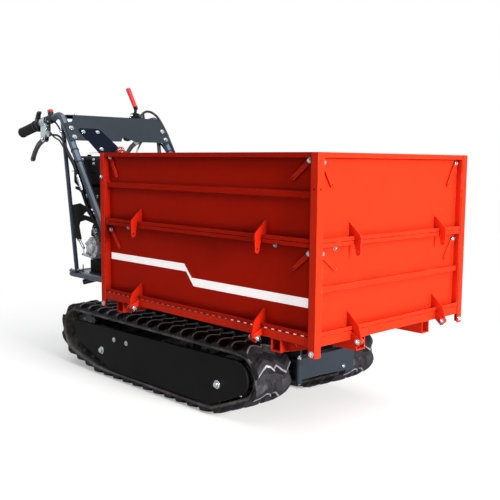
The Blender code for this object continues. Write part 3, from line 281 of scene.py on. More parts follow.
def make_paints():
    # Each paint's dirt colour darkens its corners as dirt and painted shade; its edge colour
    # lightens its edges as wear and painted highlight.
    paint("red_paint", RED, rough=0.34, edge=(1.0, 0.30, 0.22), corner_dirt_shade=(0.12, 0.003, 0.001),
          corner_dirt_shade_amount=0.70, var=0.05, peel=0.12, edge_wear_and_highlight_amount=0.45, spec=0.035)
    # Darker copy of the red paint for the left and right sides: painted shade.
    paint("red_shaded_side_paint", (0.415, 0.0100, 0.0025), rough=0.36, edge=(0.95, 0.26, 0.19),
          corner_dirt_shade=(0.09, 0.002, 0.001), corner_dirt_shade_amount=0.70, var=0.05, peel=0.12, edge_wear_and_highlight_amount=0.45, spec=0.02)
    paint("red_floor_paint", RED, rough=0.45, edge=(0.80, 0.12, 0.07),
          corner_dirt_shade=(0.12, 0.010, 0.006), corner_dirt_shade_amount=0.5, var=0.16, peel=0.25)
    paint("slate_paint", (0.0145, 0.0205, 0.0285), rough=0.36, edge=SLATE_EDGE, corner_dirt_shade=SLATE_CORNER_DIRT_SHADE,
          corner_dirt_shade_amount=0.45, var=0.12, peel=0.16, edge_wear_and_highlight_amount=0.6, spec=0.22)
    tube = paint("slate_tube", (0.038, 0.062, 0.098), rough=0.28, edge=SLATE_EDGE,
                 corner_dirt_shade=SLATE_CORNER_DIRT_SHADE, corner_dirt_shade_amount=0.45, var=0.12, peel=0.06, edge_wear_and_highlight_amount=0.6, spec=0.25,
                 coat=0.40)
    tube.surface({"Coat IOR": 1.66, "Coat Roughness": 0.13})
    paint("black_paint", (0.0065, 0.0065, 0.007), rough=0.46, edge=(0.16, 0.16, 0.17),
          corner_dirt_shade=(0.004, 0.004, 0.004), corner_dirt_shade_amount=0.2, var=0.22, peel=0.20, edge_wear_and_highlight_amount=0.8, spec=0.10)
    paint("navy_paint", (0.0022, 0.0034, 0.0100), rough=0.34, edge=(0.12, 0.14, 0.22),
          corner_dirt_shade=(0.001, 0.001, 0.002), corner_dirt_shade_amount=0.3, var=0.15, peel=0.14, spec=0.06)


def make_metals():
    copper = (0.72, 0.36, 0.16)
    metal("zinc", (0.78, 0.84, 0.88), rough=0.24, grain=0.10, tint=(0.60, 0.70, 0.74))
    metal("zinc_blue", (0.45, 0.68, 0.74), rough=0.26, grain=0.10, tint=(0.35, 0.55, 0.60))
    metal("steel", (0.46, 0.47, 0.49), rough=0.34, grain=0.16, tint=(0.30, 0.31, 0.33))
    metal("cast_aluminium", (0.80, 0.81, 0.82), rough=0.40, grain=0.45, tint=(0.60, 0.61, 0.62),
          stretch=(1, 1, 1), corner_dirt_shade_amount=0.65, metallic=0.55)
    metal("dark_cast", (0.16, 0.16, 0.165), rough=0.52, grain=0.50, tint=(0.09, 0.09, 0.095),
          stretch=(1, 1, 1), corner_dirt_shade_amount=0.6)
    metal("copper", copper, rough=0.35, grain=0.10, tint=scaled(copper, 0.80))


def make_plastics():
    plastic("black_plastic", (0.013, 0.013, 0.014), rough=0.42, grain=0.25, scale=900.0)
    plastic("grip_rubber", (0.011, 0.011, 0.011), rough=0.62, grain=0.35, scale=700.0)
    plastic("cable_black", (0.010, 0.010, 0.011), rough=0.38, grain=0.10, scale=1200.0)
    plastic("dark_red_plastic", (0.16, 0.006, 0.008), rough=0.32, grain=0.05, scale=500.0,
            var=0.15, coat=0.3)
    plastic("red_plastic", (0.62, 0.010, 0.020), rough=0.26, grain=0.04, scale=500.0,
            var=0.10, coat=0.5)
    decal = plastic("decal_white", (0.93, 0.90, 0.89), rough=0.40, grain=0.06, scale=300.0,
                    var=0.02)
    # The white print glows a little: painted light.
    decal.surface({"Emission Color": (1.0, 0.93, 0.92), "Emission Strength": 0.32})
    # Pale red for the painted highlights in the side seams.
    plastic("seam_highlight_pale", (0.62, 0.30, 0.26), rough=0.40, grain=0.06, scale=300.0, var=0.10)
    # Near-black for a painted shadow in a seam; no piece uses it.
    plastic("gap_shadow_black", (0.004, 0.004, 0.004), rough=0.8, grain=0.05, scale=300.0)


def make_track_materials():
    rubber("track_rubber", (0.0100, 0.0092, 0.0125), dust=(0.052, 0.050, 0.060),
           edge=(0.50, 0.47, 0.47), dust_amount=0.36, edge_amount=0.50, edge_radius=0.0018)
    crest = rubber("track_worn_crest_glow", (0.12, 0.116, 0.12), dust=(0.50, 0.488, 0.50),
                   edge=(0.62, 0.59, 0.58), dust_amount=1.0, edge_amount=0.4)
    # The crests glow a little: painted light.
    crest.surface({"Emission Color": (0.80, 0.78, 0.80), "Emission Strength": 0.06})
    metal("lever_metal", (0.17, 0.16, 0.15), rough=0.38, grain=0.20, tint=(0.09, 0.085, 0.08))
    rubber("track_side", (0.062, 0.058, 0.054), dust=(0.31, 0.285, 0.260),
           edge=(0.42, 0.39, 0.37), dust_amount=0.75, edge_amount=0.40)


make_paints()
make_metals()
make_plastics()
make_track_materials()


# =====================================================================
# Outlines and paths
# =====================================================================
def arc(centre, radius, steps, start, sweep):
    angles = [start + sweep * i / steps for i in range(steps + 1)]
    return [(centre[0] + radius * math.cos(a), centre[1] + radius * math.sin(a)) for a in angles]


def circle(centre, radius, count, start=0.0):
    return arc(centre, radius, count, start, 2 * math.pi)[:-1]


def stadium(a, b, radius_a, radius_b):
    """Outline of a bar with a round end about each of the two points."""
    lean = math.atan2(b[1] - a[1], b[0] - a[0])
    return (arc(a, radius_a, 8, lean + math.pi / 2, math.pi)
            + arc(b, radius_b, 8, lean - math.pi / 2, math.pi))


def fillet(corners, radius, steps):
    """The path through the corners, with each inner corner rounded."""
    path = [corners[0]]
    for before, corner, after in zip(corners, corners[1:], corners[2:]):
        back, ahead = (before - corner).normalized(), (after - corner).normalized()
        half = back.angle(ahead) / 2
        cut = min(radius / math.tan(half), 0.48 * (before - corner).length,
                  0.48 * (after - corner).length)
        centre = corner + (back + ahead).normalized() * (cut * math.tan(half) / math.sin(half))
        start, end = corner + back * cut - centre, corner + ahead * cut - centre
        turn, axis = start.angle(end), start.cross(end).normalized()
        for k in range(steps + 1):
            path.append(centre + Matrix.Rotation(turn * k / steps, 3, axis) @ start)
    return path + [corners[-1]]


def curve(knots, steps):
    """Catmull-Rom curve through the knots."""
    p = [knots[0] * 2 - knots[1]] + list(knots) + [knots[-1] * 2 - knots[-2]]
    path = []
    for a, b, c, d in zip(p, p[1:], p[2:], p[3:]):
        for k in range(steps):
            t = k / steps
            path.append(0.5 * ((2 * b) + (c - a) * t + (2 * a - 5 * b + 4 * c - d) * t * t
                               + (3 * b - a - 3 * c + d) * t ** 3))
    return path + [p[-2]]


def plane(u, v, w, origin=(0, 0, 0)):
    """Matrix from (u, v, w) to the model, about the bed's centre."""
    matrix = Matrix((u, v, w)).transposed().to_4x4()
    matrix.translation = at(*origin)
    return matrix


YZ = plane(Y, Z, X)
XY = plane(X, Y, Z)


def turned_to(direction):
    """Rotation that takes z to the direction."""
    return Z.rotation_difference(Vector(direction).normalized()).to_matrix().to_4x4()


def round_edges(ob, width, segments, angle):
    bevel = ob.modifiers.new("edge", 'BEVEL')
    bevel.width = width
    bevel.segments = segments
    bevel.limit_method = 'ANGLE'
    bevel.angle_limit = math.radians(angle)
    bevel.use_clamp_overlap = True
    ob.modifiers.new("normals", 'WEIGHTED_NORMAL').keep_sharp = True


# =====================================================================
# Solids
# =====================================================================
class Shape:
    def __init__(self):
        self.bm = bmesh.new()

    def vert(self, point):
        return self.bm.verts.new(point)

    def face(self, verts, mat=0):
        face = self.bm.faces.new(verts)
        face.material_index = mat
        return face

    def bridge(self, near, far, mat=0):
        """Faces between two closed rings of as many vertices."""
        count = len(near)
        return [self.face((near[i], near[(i + 1) % count], far[(i + 1) % count], far[i]), mat)
                for i in range(count)]

    def stack(self, rings):
        """Bridges rings in turn and caps both ends."""
        self.face(rings[0][::-1])
        self.face(rings[-1])
        for near, far in zip(rings, rings[1:]):
            self.bridge(near, far)

    def place(self, verts, matrix, mat):
        bmesh.ops.transform(self.bm, matrix=matrix, verts=verts)
        for vert in verts:
            for face in vert.link_faces:
                face.material_index = mat

    def box(self, low, high, mat=0):
        low, high = Vector(low), Vector(high)
        verts = bmesh.ops.create_cube(self.bm, size=1.0)["verts"]
        size = Matrix.Diagonal((*map(abs, high - low), 1.0))
        self.place(verts, Matrix.Translation((low + high) / 2) @ size, mat)

    def rod(self, start, end, radius, sides, end_radius=None, mat=0):
        start, end = Vector(start), Vector(end)
        verts = bmesh.ops.create_cone(
            self.bm, cap_ends=True, cap_tris=False, segments=sides, radius1=radius,
            radius2=radius if end_radius is None else end_radius,
            depth=(end - start).length)["verts"]
        self.place(verts, Matrix.Translation((start + end) / 2) @ turned_to(end - start), mat)

    def lathe(self, profile, origin, axis, sides):
        """Turns a profile of (radius, along). One open at both ends closes into a ring."""
        matrix = Matrix.Translation(Vector(origin)) @ turned_to(axis)
        rings = []
        for radius, along in profile:
            rim = circle((0, 0), radius, sides) if radius > 1e-7 else [(0, 0)]
            rings.append([self.vert(matrix @ Vector((x, y, along))) for x, y in rim])
        pairs = list(zip(rings, rings[1:]))
        if len(rings[0]) > 1 and len(rings[-1]) > 1:
            pairs.append((rings[-1], rings[0]))
        for near, far in pairs:
            if len(near) > 1 and len(far) > 1:
                self.bridge(near, far)
            elif len(near) > 1 or len(far) > 1:
                for i in range(sides):
                    j = (i + 1) % sides
                    if len(near) == 1:
                        self.face((near[0], far[i], far[j]))
                    else:
                        self.face((near[i], near[j], far[0]))

    def sweep(self, path, radius, sides, end_radius=None):
        """Round bar along the path, tapering evenly to end_radius."""
        last = len(path) - 1
        taper = 0.0 if end_radius is None else end_radius - radius
        along = [(path[min(last, i + 1)] - path[max(0, i - 1)]).normalized()
                 for i in range(last + 1)]
        up = Z if abs(along[0].z) < 0.9 else X
        normal = (up - along[0] * up.dot(along[0])).normalized()
        rings = []
        for i, centre in enumerate(path):
            if i:
                normal = along[i - 1].rotation_difference(along[i]) @ normal
                normal = (normal - along[i] * normal.dot(along[i])).normalized()
            side = along[i].cross(normal)
            rim = circle((0, 0), 1.0, sides)
            size = radius + taper * i / last
            rings.append([self.vert(centre + (normal * u + side * v) * size) for u, v in rim])
        for near, far in zip(rings, rings[1:]):
            self.bridge(near, far)
        self.face(rings[0][::-1])
        self.face(rings[-1])

    def hose(self, knots, radius, sides, steps=10, end_radius=None):
        """Round bar along a smooth curve through the knots."""
        self.sweep(curve(knots, steps), radius, sides, end_radius)

    def plate(self, outline, start, end, basis):
        """Flat (u, v) outline, extruded from w=start to w=end."""
        self.stack([[self.vert(basis @ Vector((u, v, w))) for u, v in outline]
                    for w in (start, end)])

    def holed_plate(self, outline, hole, start, end, basis):
        faces = []
        for w in (start, end):
            loops = [[self.vert(basis @ Vector((u, v, w))) for u, v in loop]
                     for loop in (outline, hole)]
            edges = [self.bm.edges.new((loop[i], loop[(i + 1) % len(loop)]))
                     for loop in loops for i in range(len(loop))]
            bmesh.ops.triangle_fill(self.bm, use_beauty=True, use_dissolve=False, edges=edges)
            faces.append(loops)
        for near, far in zip(*faces):
            self.bridge(near, far)

    def bolt(self, place, facing, size, stub=0.0, spin=0.0):
        """Hex head on a washer. Size: (across flats, head height, washer radius, washer
        thickness); stub is how far the thread stands out of the head."""
        flats, height, washer, thick = size
        facing = Vector(facing).normalized()
        if washer:
            self.lathe([(0.0, 0.0), (washer, 0.0), (washer, thick * 0.7),
                        (washer - 0.0004, thick), (0.0, thick)], place, facing, 20)
        matrix = (Matrix.Translation(place) @ turned_to(facing)
                  @ Matrix.Rotation(spin, 4, 'Z'))
        corner = flats / math.sqrt(3)
        layers = [(thick * 0.9, corner), (thick + height * 0.82, corner),
                  (thick + height, corner * 0.84)]
        self.stack([[self.vert(matrix @ Vector((x, y, z))) for x, y in circle((0, 0), radius, 6)]
                    for z, radius in layers])
        if stub:
            self.rod(place + facing * (thick + height * 0.9),
                     place + facing * (thick + height + stub), flats * 0.30, 12, flats * 0.26)

    def bolts(self, places, facing, size, stub=0.0, spin=0.0):
        for place in places:
            self.bolt(place, facing, size, stub, spin)

    def finish(self, name, mats, body="chassis", angle=35.0, bevel=0.0, segments=2,
               bevel_angle=40.0, replaces=()):
        """Makes the object, rides it on a body and gives it its first material's slot."""
        mats = [mats] if isinstance(mats, str) else mats
        bmesh.ops.recalc_face_normals(self.bm, faces=self.bm.faces)
        mesh = bpy.data.meshes.new(name)
        self.bm.to_mesh(mesh)
        self.bm.free()
        ob = bpy.data.objects.new(name, mesh)
        bpy.context.scene.collection.objects.link(ob)
        for mat in mats:
            mesh.materials.append(MATERIALS[mat])
        mesh.shade_smooth()
        mesh.set_sharp_from_angle(angle=math.radians(angle))
        if bevel:
            round_edges(ob, bevel, segments, bevel_angle)
        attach(ob, body)
        if replaces:
            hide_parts(*replaces)


# =====================================================================
# CAD pieces that stay
# =====================================================================
# material, edge radius, edge segments, pieces
DRESSED = [
    ("red_paint", 0.0009, 2, "bed_frame front_left_post front_right_post rear_left_post "
     "rear_right_post front_lower_side front_upper_side rear_headboard"),
    # the left and right sides take the darker red copy: painted shade
    ("red_shaded_side_paint", 0.0009, 2, "left_lower_side left_upper_side right_lower_side "
     "right_upper_side"),
    ("red_paint", 0.0005, 2, "left_front_latch left_rear_latch right_front_latch "
     "right_rear_latch front_left_latch front_right_latch"),
    ("red_floor_paint", 0.0004, 1, "bed_floor"),
    ("slate_tube", 0.0007, 2, "engine_platform left_handle_tube right_handle_tube"),
    ("slate_paint", 0.0007, 2, "chassis_frame front_guard console_plate"),
    ("black_paint", 0.0007, 2, "left_track_frame right_track_frame clutch_lever_bracket"),
    ("black_paint", 0.0008, 2, "left_side_cover right_side_cover"),
    ("navy_paint", 0.0006, 2, "tank_bracket"),
    ("dark_cast", 0.0010, 2, "left_drive_sprocket right_drive_sprocket left_idler_wheel "
     "right_idler_wheel left_front_road_roller right_front_road_roller "
     "left_rear_road_roller right_rear_road_roller"),
    ("dark_cast", 0.0014, 2, "gearbox"),
    ("cast_aluminium", 0.0009, 2, "engine_block"),
    ("cast_aluminium", 0.0008, 2, "drive_housing"),
    ("black_plastic", 0.0010, 2, "recoil_cover"),
    ("black_paint", 0.0030, 3, "fuel_tank"),
    ("dark_red_plastic", 0.0008, 2, "fuel_cap"),
    ("steel", 0.0008, 2, "muffler_guard"),
    ("black_plastic", 0.0008, 2, "starter_handle gear_lever"),
    ("zinc", 0.0005, 2, "left_lever_bracket right_lever_bracket"),
    ("lever_metal", 0.0016, 3, "left_brake_lever right_brake_lever"),
    ("black_plastic", 0.0007, 2, "stop_switch_body"),
    ("red_plastic", 0.0009, 2, "stop_button"),
    ("black_plastic", 0.0014, 3, "throttle_lever"),
    ("red_plastic", 0.0006, 2, "clutch_lever"),
]


def dress(ob, mat, edge_radius, segments):
    """Finishes a CAD piece with a material and rounded edges."""
    mesh = ob.data
    if "custom_normal" in mesh.attributes:
        mesh.attributes.remove(mesh.attributes["custom_normal"])
    if len(mesh.materials):
        mesh.materials.clear()
    mesh.materials.append(MATERIALS[mat])
    ob.modifiers.new("weld", 'WELD').merge_threshold = 0.00002
    flat = ob.modifiers.new("flat", 'DECIMATE')
    flat.decimate_type = 'DISSOLVE'
    flat.angle_limit = math.radians(0.6)
    round_edges(ob, edge_radius, segments, angle=30.0)
    mesh.shade_smooth()
    mesh.set_sharp_from_angle(angle=math.radians(40))


for _mat, _radius, _segments, _pieces in DRESSED:
    for _piece in _pieces.split():
        dress(NODES[_piece], _mat, _radius, _segments)

# =====================================================================
# Rubber tracks
# =====================================================================
# wheels inside a track: y, z, radius of the belt's inner face
IDLER = (-0.136, 0.163, 0.070)
FRONT_ROLLER = (0.010, 0.067, 0.035)
REAR_ROLLER = (0.700, 0.067, 0.035)
SPROCKET = (0.862, 0.150, 0.084)
BELT_IN, BELT_OUT = 0.1465, 0.2995      # x of the belt's edges
BELT_THICKNESS, LUG_HEIGHT, LUG_PITCH = 0.012, 0.020, 0.066
LUG_FOOT = 0.0095                       # height of the lug's foot, inside the belt
LUG_TOP = BELT_THICKNESS + LUG_HEIGHT - 0.0004

# stations across a lug: share of the belt's width, shift along the loop, drop of the crest
LUG_STATIONS = [
    (0.0, 0.0100, 0.0060), (0.12, -0.0010, 0.0008), (0.25, -0.0115, 0.0), (0.36, -0.0085, 0.0),
    (0.46, 0.0045, 0.0010), (0.50, -0.0010, 0.0080), (0.54, -0.0065, 0.0010),
    (0.66, 0.0030, 0.0), (0.78, 0.0120, 0.0), (0.90, 0.0010, 0.0008), (1.0, -0.0085, 0.0060),
]
WIDE_STATIONS, EXTRA_WIDTH = (2, 3, 7, 8), 0.0016
# section along the loop: place, share of the station's shift, drop as a share of the lug's
# height, whether the extra width moves it
LUG_SECTION = [
    (-0.0300, 0.5, 1.0, 0), (-0.0170, 0.8, 0.46, 0), (-0.0050, 1.0, 0.05, 0),
    (0.0076, 1.0, 0.0, 1), (0.0110, 1.0, 0.0, 1), (0.0124, 1.0, 0.07, 1),
    (0.0185, 0.9, 0.62, 1), (0.0245, 0.6, 1.0, 1),
]
CREST_FACES = (3, 4)


def wheel_loop(wheels, steps_per_half_turn):
    """(point, normal) pairs in y and z of a belt stretched round the wheels."""
    leave = []
    for i, (y0, z0, r0) in enumerate(wheels):
        y1, z1, r1 = wheels[(i + 1) % len(wheels)]
        reach = math.hypot(y1 - y0, z1 - z0)
        leave.append(math.atan2(z1 - z0, y1 - y0) - math.acos((r0 - r1) / reach))
    path = []
    for i, (y, z, radius) in enumerate(wheels):
        start, end = leave[i - 1], leave[i]
        while end < start:
            end += 2 * math.pi
        steps = max(2, int(steps_per_half_turn * (end - start) / math.pi) + 1)
        path += zip(arc((y, z), radius, steps, start, end - start),
                    arc((0, 0), 1.0, steps, start, end - start))
    return path


PATH = wheel_loop([IDLER, FRONT_ROLLER, REAR_ROLLER, SPROCKET], 30)
TRAVEL = [0.0]                          # distance round the loop at each point of PATH
for _i, (_point, _) in enumerate(PATH):
    TRAVEL.append(TRAVEL[-1] + math.dist(_point, PATH[(_i + 1) % len(PATH)][0]))
LOOP = TRAVEL[-1]
LUGS = int(round(LOOP / LUG_PITCH))


def on_loop(travel, x, height):
    """The point at a distance round the loop and a height over the belt's inner face."""
    travel %= LOOP
    i = bisect_right(TRAVEL, travel, 0, len(PATH)) - 1
    share = (travel - TRAVEL[i]) / (TRAVEL[i + 1] - TRAVEL[i])
    (a, normal_a), (b, normal_b) = PATH[i], PATH[(i + 1) % len(PATH)]
    normal = Vector(normal_a).lerp(Vector(normal_b), share).normalized()
    return at(x, a[0] + (b[0] - a[0]) * share + normal.x * height,
              a[1] + (b[1] - a[1]) * share + normal.y * height)


def across(share):
    return BELT_IN + (BELT_OUT - BELT_IN) * share


def add_carcass(track, sx):
    section = [
        (BELT_IN + 0.003, 0.0), (BELT_OUT - 0.003, 0.0), (BELT_OUT - 0.0006, 0.0012),
        (BELT_OUT, 0.0035), (BELT_OUT, 0.0085), (BELT_OUT - 0.0008, 0.0105),
        (BELT_OUT - 0.003, 0.0118), (BELT_IN + 0.003, 0.0118), (BELT_IN + 0.0008, 0.0105),
        (BELT_IN, 0.0085), (BELT_IN, 0.0035), (BELT_IN + 0.0006, 0.0012),
    ]
    tread_face = 6
    count = LUGS * 6
    rings = [[track.vert(on_loop(LOOP * i / count, sx * x, h)) for x, h in section]
             for i in range(count)]
    for i, ring in enumerate(rings):
        for j, face in enumerate(track.bridge(ring, rings[(i + 1) % count])):
            face.material_index = 0 if j == tread_face else 1


def add_lug(track, sx, index, travel):
    """A zigzag lug: a long sloping flank, a worn crest that glows a little (painted light) and a
    steep flank, in two lobes.
    """
    stations = LUG_STATIONS
    if sx < 0:
        stations = [(1.0 - u, shift, drop) for u, shift, drop in stations[::-1]]
    rows = []
    for q, (u, shift, crest_drop) in enumerate(stations):
        wobble = 0.0008 * math.sin(2.3 * index + 1.7 * q)
        top = LUG_TOP - crest_drop
        extra = EXTRA_WIDTH if q in WIDE_STATIONS else 0.0
        row = []
        for along, share, drop, widened in LUG_SECTION:
            s = travel + along + widened * extra + shift * share + (wobble if drop < 0.5 else 0.0)
            row.append(track.vert(on_loop(s, sx * across(u), top - (top - LUG_FOOT) * drop)))
        rows.append(row)
    for near, far in zip(rows, rows[1:]):
        for j, face in enumerate(track.bridge(near, far)):
            face.material_index = 2 if j in CREST_FACES else 0
    track.face(rows[0][::-1])
    track.face(rows[-1])


def add_tie_bars(track, sx, travel):
    """Low bars from one lug to the next, near both edges and in the middle."""
    quads = ((0, 2, 3, 1), (4, 5, 7, 6), (0, 1, 5, 4), (2, 6, 7, 3), (1, 3, 7, 5), (0, 4, 6, 2))
    for shares in ((0.02, 0.16), (0.84, 0.98), (0.42, 0.58)):
        verts = [track.vert(on_loop(travel + along, sx * across(u), h))
                 for along, top in ((0.0215, 0.0150), (0.0440, 0.0145))
                 for u in shares for h in (0.0100, top)]
        for quad in quads:
            track.face([verts[k] for k in quad])


def add_horns(track, sx, travel):
    """Two tapered guide horns on the belt's inner face."""
    for x0, x1 in ((0.2575, 0.2705), (0.1785, 0.1915)):
        rings = []
        for half, inset, height in ((0.013, 0.0, 0.0006), (0.006, 0.0025, -0.0125)):
            a, b = x0 + inset, x1 - inset
            rings.append([track.vert(on_loop(travel + s, sx * x, height))
                          for s, x in ((-half, a), (half, a), (half, b), (-half, b))])
        track.face(rings[0], mat=1)
        track.face(rings[1][::-1], mat=1)
        track.bridge(*rings, mat=1)


def build_track(side, sx):
    track = Shape()
    add_carcass(track, sx)
    for i in range(LUGS):
        travel = LOOP * i / LUGS + 0.010
        add_lug(track, sx, i, travel)
        add_tie_bars(track, sx, travel)
    for i in range(LUGS):
        add_horns(track, sx, LOOP * (i + 0.45) / LUGS)
    # third material: worn crests with a faint painted glow
    track.finish(side + "_rubber_track", ["track_rubber", "track_side", "track_worn_crest_glow"], angle=16,
                 bevel=0.0005, segments=1, bevel_angle=24, replaces=(side + "_track_belt",))


for _side, _sx in SIDES:
    build_track(_side, _sx)

# =====================================================================
# Wheel bolts and track covers
# =====================================================================
COVER_X = 0.3036        # outer face of a side cover


def wheel_bolts(side, sx):
    """Bolt rings on the wheel discs: wheel name, wheel, face x, bolt circle radius."""
    for wheel, (y, z, _), x, radius in (("idler_wheel", IDLER, 0.2292, 0.040),
                                        ("drive_sprocket", SPROCKET, 0.2432, 0.045)):
        bolts = Shape()
        places = [at(sx * x, *p) for p in circle((y, z), radius, 6, 0.3)]
        bolts.bolts(places, X * sx, (0.0100, 0.0045, 0.0080, 0.001))
        name = side + "_" + wheel
        bolts.finish(name + "_bolts", "zinc", name + "_body")


def axle_ends(side, sx):
    nuts = Shape()
    places = [at(sx * 0.2520, y, z) for y, z, _ in (IDLER, FRONT_ROLLER, REAR_ROLLER)]
    nuts.bolts(places, X * sx, (0.0170, 0.0070, 0.0140, 0.0015), stub=0.003)
    nuts.finish(side + "_axle_nuts", "steel")

    cap = Shape()
    cap.lathe([(0, 0), (0.0290, 0), (0.0300, 0.002), (0.0300, 0.010), (0.0260, 0.0140),
               (0.0120, 0.0170), (0.0, 0.0172)], at(sx * 0.2525, *IDLER[:2]), X * sx, 32)
    places = [at(sx * 0.2655, *p) for p in circle(IDLER[:2], 0.022, 4, 0.4)]
    cap.bolts(places, X * sx, (0.0065, 0.003, 0.0, 0.0))
    cap.finish(side + "_idler_hub_cap", "dark_cast")


def cover_bolts(side, sx):
    large = Shape()
    for y, z, spin in ((0.656, 0.106, 0.0), (-0.037, 0.118, 0.3)):
        large.bolt(at(sx * COVER_X, y, z), X * sx, (0.0185, 0.0085, 0.0150, 0.0018), spin=spin)
    large.finish(side + "_cover_bolts", "zinc")

    small = Shape()
    for y in (0.569, 0.487):
        small.bolt(at(sx * COVER_X, y, 0.163), X * sx, (0.0105, 0.0042, 0.0095, 0.0012))
        small.rod(at(sx * 0.3070, y, 0.163), at(sx * 0.3102, y, 0.163), 0.0033, 12, 0.0028, mat=1)
    small.finish(side + "_cover_small_bolts", ["zinc", "copper"])


def cover_rim(side, sx):
    """Folded rim round the cover's front end and along its bottom."""
    thickness = 0.0022
    line = arc((-0.125, 0.156), 0.0595, 22, math.radians(95), math.radians(132))
    line += [(-0.075, 0.0715), (-0.020, 0.0505), (0.020, 0.0405), (0.30, 0.0392),
             (0.589, 0.0385)]
    last = len(line) - 1
    inner = []
    for i, (y, z) in enumerate(line):
        along = (Vector(line[min(last, i + 1)]) - Vector(line[max(0, i - 1)])).normalized()
        inner.append((y - along.y * thickness, z + along.x * thickness))
    rim = Shape()
    (a, b), (c, d) = [[[rim.vert(at(sx * x, *p)) for p in row] for x in (0.2900, 0.3049)]
                      for row in (line, inner)]
    for i in range(last):
        j = i + 1
        rim.face((a[i], a[j], b[j], b[i]))
        rim.face((c[i], d[i], d[j], c[j]))
        rim.face((b[i], b[j], d[j], d[i]))
        rim.face((a[i], c[i], c[j], a[j]))
    for i in (0, last):
        rim.face((a[i], b[i], d[i], c[i]))
    rim.finish(side + "_cover_rim", "black_paint", angle=50, bevel=0.0005)


for _side, _sx in SIDES:
    wheel_bolts(_side, _sx)
    axle_ends(_side, _sx)
    cover_bolts(_side, _sx)
    cover_rim(_side, _sx)

# =====================================================================
# Bed: stripes, latches, nuts and seams
# =====================================================================
# sides of the bed: u along the side, v up, w outward
TRAYS = {
    "left": plane(Y, Z, -X, (-0.379, 0, 0)),
    "right": plane(Y, Z, X, (0.379, 0, 0)),
    "front": plane(-X, Z, -Y, (0, -0.529, 0)),
}
SHEET_W = -0.0205       # outer face of the side sheets
CORNER_U = 0.4885       # u of the latch bolts on the left and right sides
FRONT_CORNER_U = 0.3385

STRIPE = [
    (0.4945, 0.517), (0.068, 0.518), (0.030, 0.475), (-0.4860, 0.475),
    (-0.4860, 0.448), (0.019, 0.448), (0.057, 0.493), (0.4945, 0.493),
]
# upper latch bars: side, place on it, bolted end (u, v), free end (u, v)
UPPER_LATCHES = [
    ("left", "front", (-0.4850, 0.861), (-0.424, 0.812)),
    ("left", "rear", (CORNER_U, 0.866), (0.452, 0.800)),
    ("right", "front", (-0.4850, 0.861), (-0.424, 0.812)),
    ("right", "rear", (CORNER_U, 0.866), (0.452, 0.800)),
    ("front", "left", (FRONT_CORNER_U, 0.856), (0.300, 0.793)),
    ("front", "right", (-FRONT_CORNER_U, 0.856), (-0.297, 0.786)),
]
# lower latch bolts: latch, side, u
LOWER_LATCHES = [
    ("left_front", "left", -CORNER_U), ("left_rear", "left", CORNER_U),
    ("right_front", "right", -CORNER_U), ("right_rear", "right", CORNER_U),
    ("front_left", "front", FRONT_CORNER_U), ("front_right", "front", -FRONT_CORNER_U),
]


def outward(tray):
    return tray.col[2].to_3d()


def stripes():
    for side in ("left", "right"):
        stripe = Shape()
        stripe.plate(STRIPE, SHEET_W - 0.0001, SHEET_W + 0.0004, TRAYS[side])
        # white print that glows a little: painted light
        stripe.finish(side + "_stripe", "decal_white", side + "_side", angle=30)


def upper_latch(side, place, pivot, tip):
    tray = TRAYS[side]
    name = side + "_upper_" + place + "_latch"
    face = SHEET_W + 0.0064
    bar = Shape()
    bar.holed_plate(stadium(pivot, tip, 0.0082, 0.0066), circle(tip, 0.0030, 12),
                    SHEET_W + 0.0010, face, tray)
    bar.finish(name, "red_paint", side + "_side", angle=40, bevel=0.0006, bevel_angle=50)
    bolt = Shape()
    bolt.rod(tray @ Vector((*pivot, SHEET_W - 0.0005)), tray @ Vector((*pivot, SHEET_W + 0.0065)),
             0.0042, 12)
    bolt.bolt(tray @ Vector((*pivot, face)), outward(tray), (0.0096, 0.0044, 0.0078, 0.0010),
              spin=0.4)
    bolt.finish(name + "_bolt", "zinc", side + "_side")


def lower_latch_bolt(latch, side, u):
    bolt = Shape()
    bolt.bolt(TRAYS[side] @ Vector((u, 0.603, SHEET_W + 0.0044)), outward(TRAYS[side]),
              (0.0115, 0.0055, 0.0086, 0.0010), spin=0.2)
    bolt.finish(latch + "_latch_bolt", "zinc", latch + "_latch_body")


def side_nuts(side, places):
    tray = TRAYS[side]
    nuts = Shape()
    nuts.bolts([tray @ Vector((u, v, SHEET_W)) for u, v in places], outward(tray),
               (0.0085, 0.0042, 0.0070, 0.0010), stub=0.002)
    nuts.finish(side + "_lower_nuts", "zinc_blue", side + "_side")


def hinge_bolts(side, hinges):
    """Bolts through the hinge arms; on the long sides one end stands on a sleeve."""
    tray = TRAYS[side]
    height, out = 0.342, 0.026
    bolts = Shape()
    for u in hinges:
        for s in (-1, 1):
            sleeve = 0.0120 if s < 0 and side != "front" else 0.0
            head = tray @ Vector((u + s * (0.0089 + sleeve), height, out))
            if sleeve:
                bolts.rod(tray @ Vector((u + s * 0.0080, height, out)), head, 0.0045, 14)
            bolts.bolt(head, tray.to_3x3() @ Vector((s, 0, 0)),
                       (0.0110, 0.0048, 0.0085, 0.0010), stub=0.0015 if s > 0 else 0.0)
    bolts.finish(side + "_hinge_bolts", "zinc", "tipping_bed")


def post_bolts():
    low = Shape()
    for _, sx in SIDES:
        low.bolts(points([(0.381, -0.5185, 0.3240), (0.381, 0.5185, 0.3240)], sx), X * sx,
                  (0.0110, 0.0048, 0.0090, 0.001))
    low.bolt(at(0.3700, -0.531, 0.3260), -Y, (0.0105, 0.0045, 0.0085, 0.001))
    low.finish("post_bolts", "zinc", "tipping_bed")
    high = Shape()
    for _, sx in SIDES:
        high.bolt(at(sx * 0.381, 0.523, 0.796), X * sx, (0.0090, 0.0042, 0.0072, 0.001))
    high.finish("rear_post_bolts", "zinc_blue", "tipping_bed")


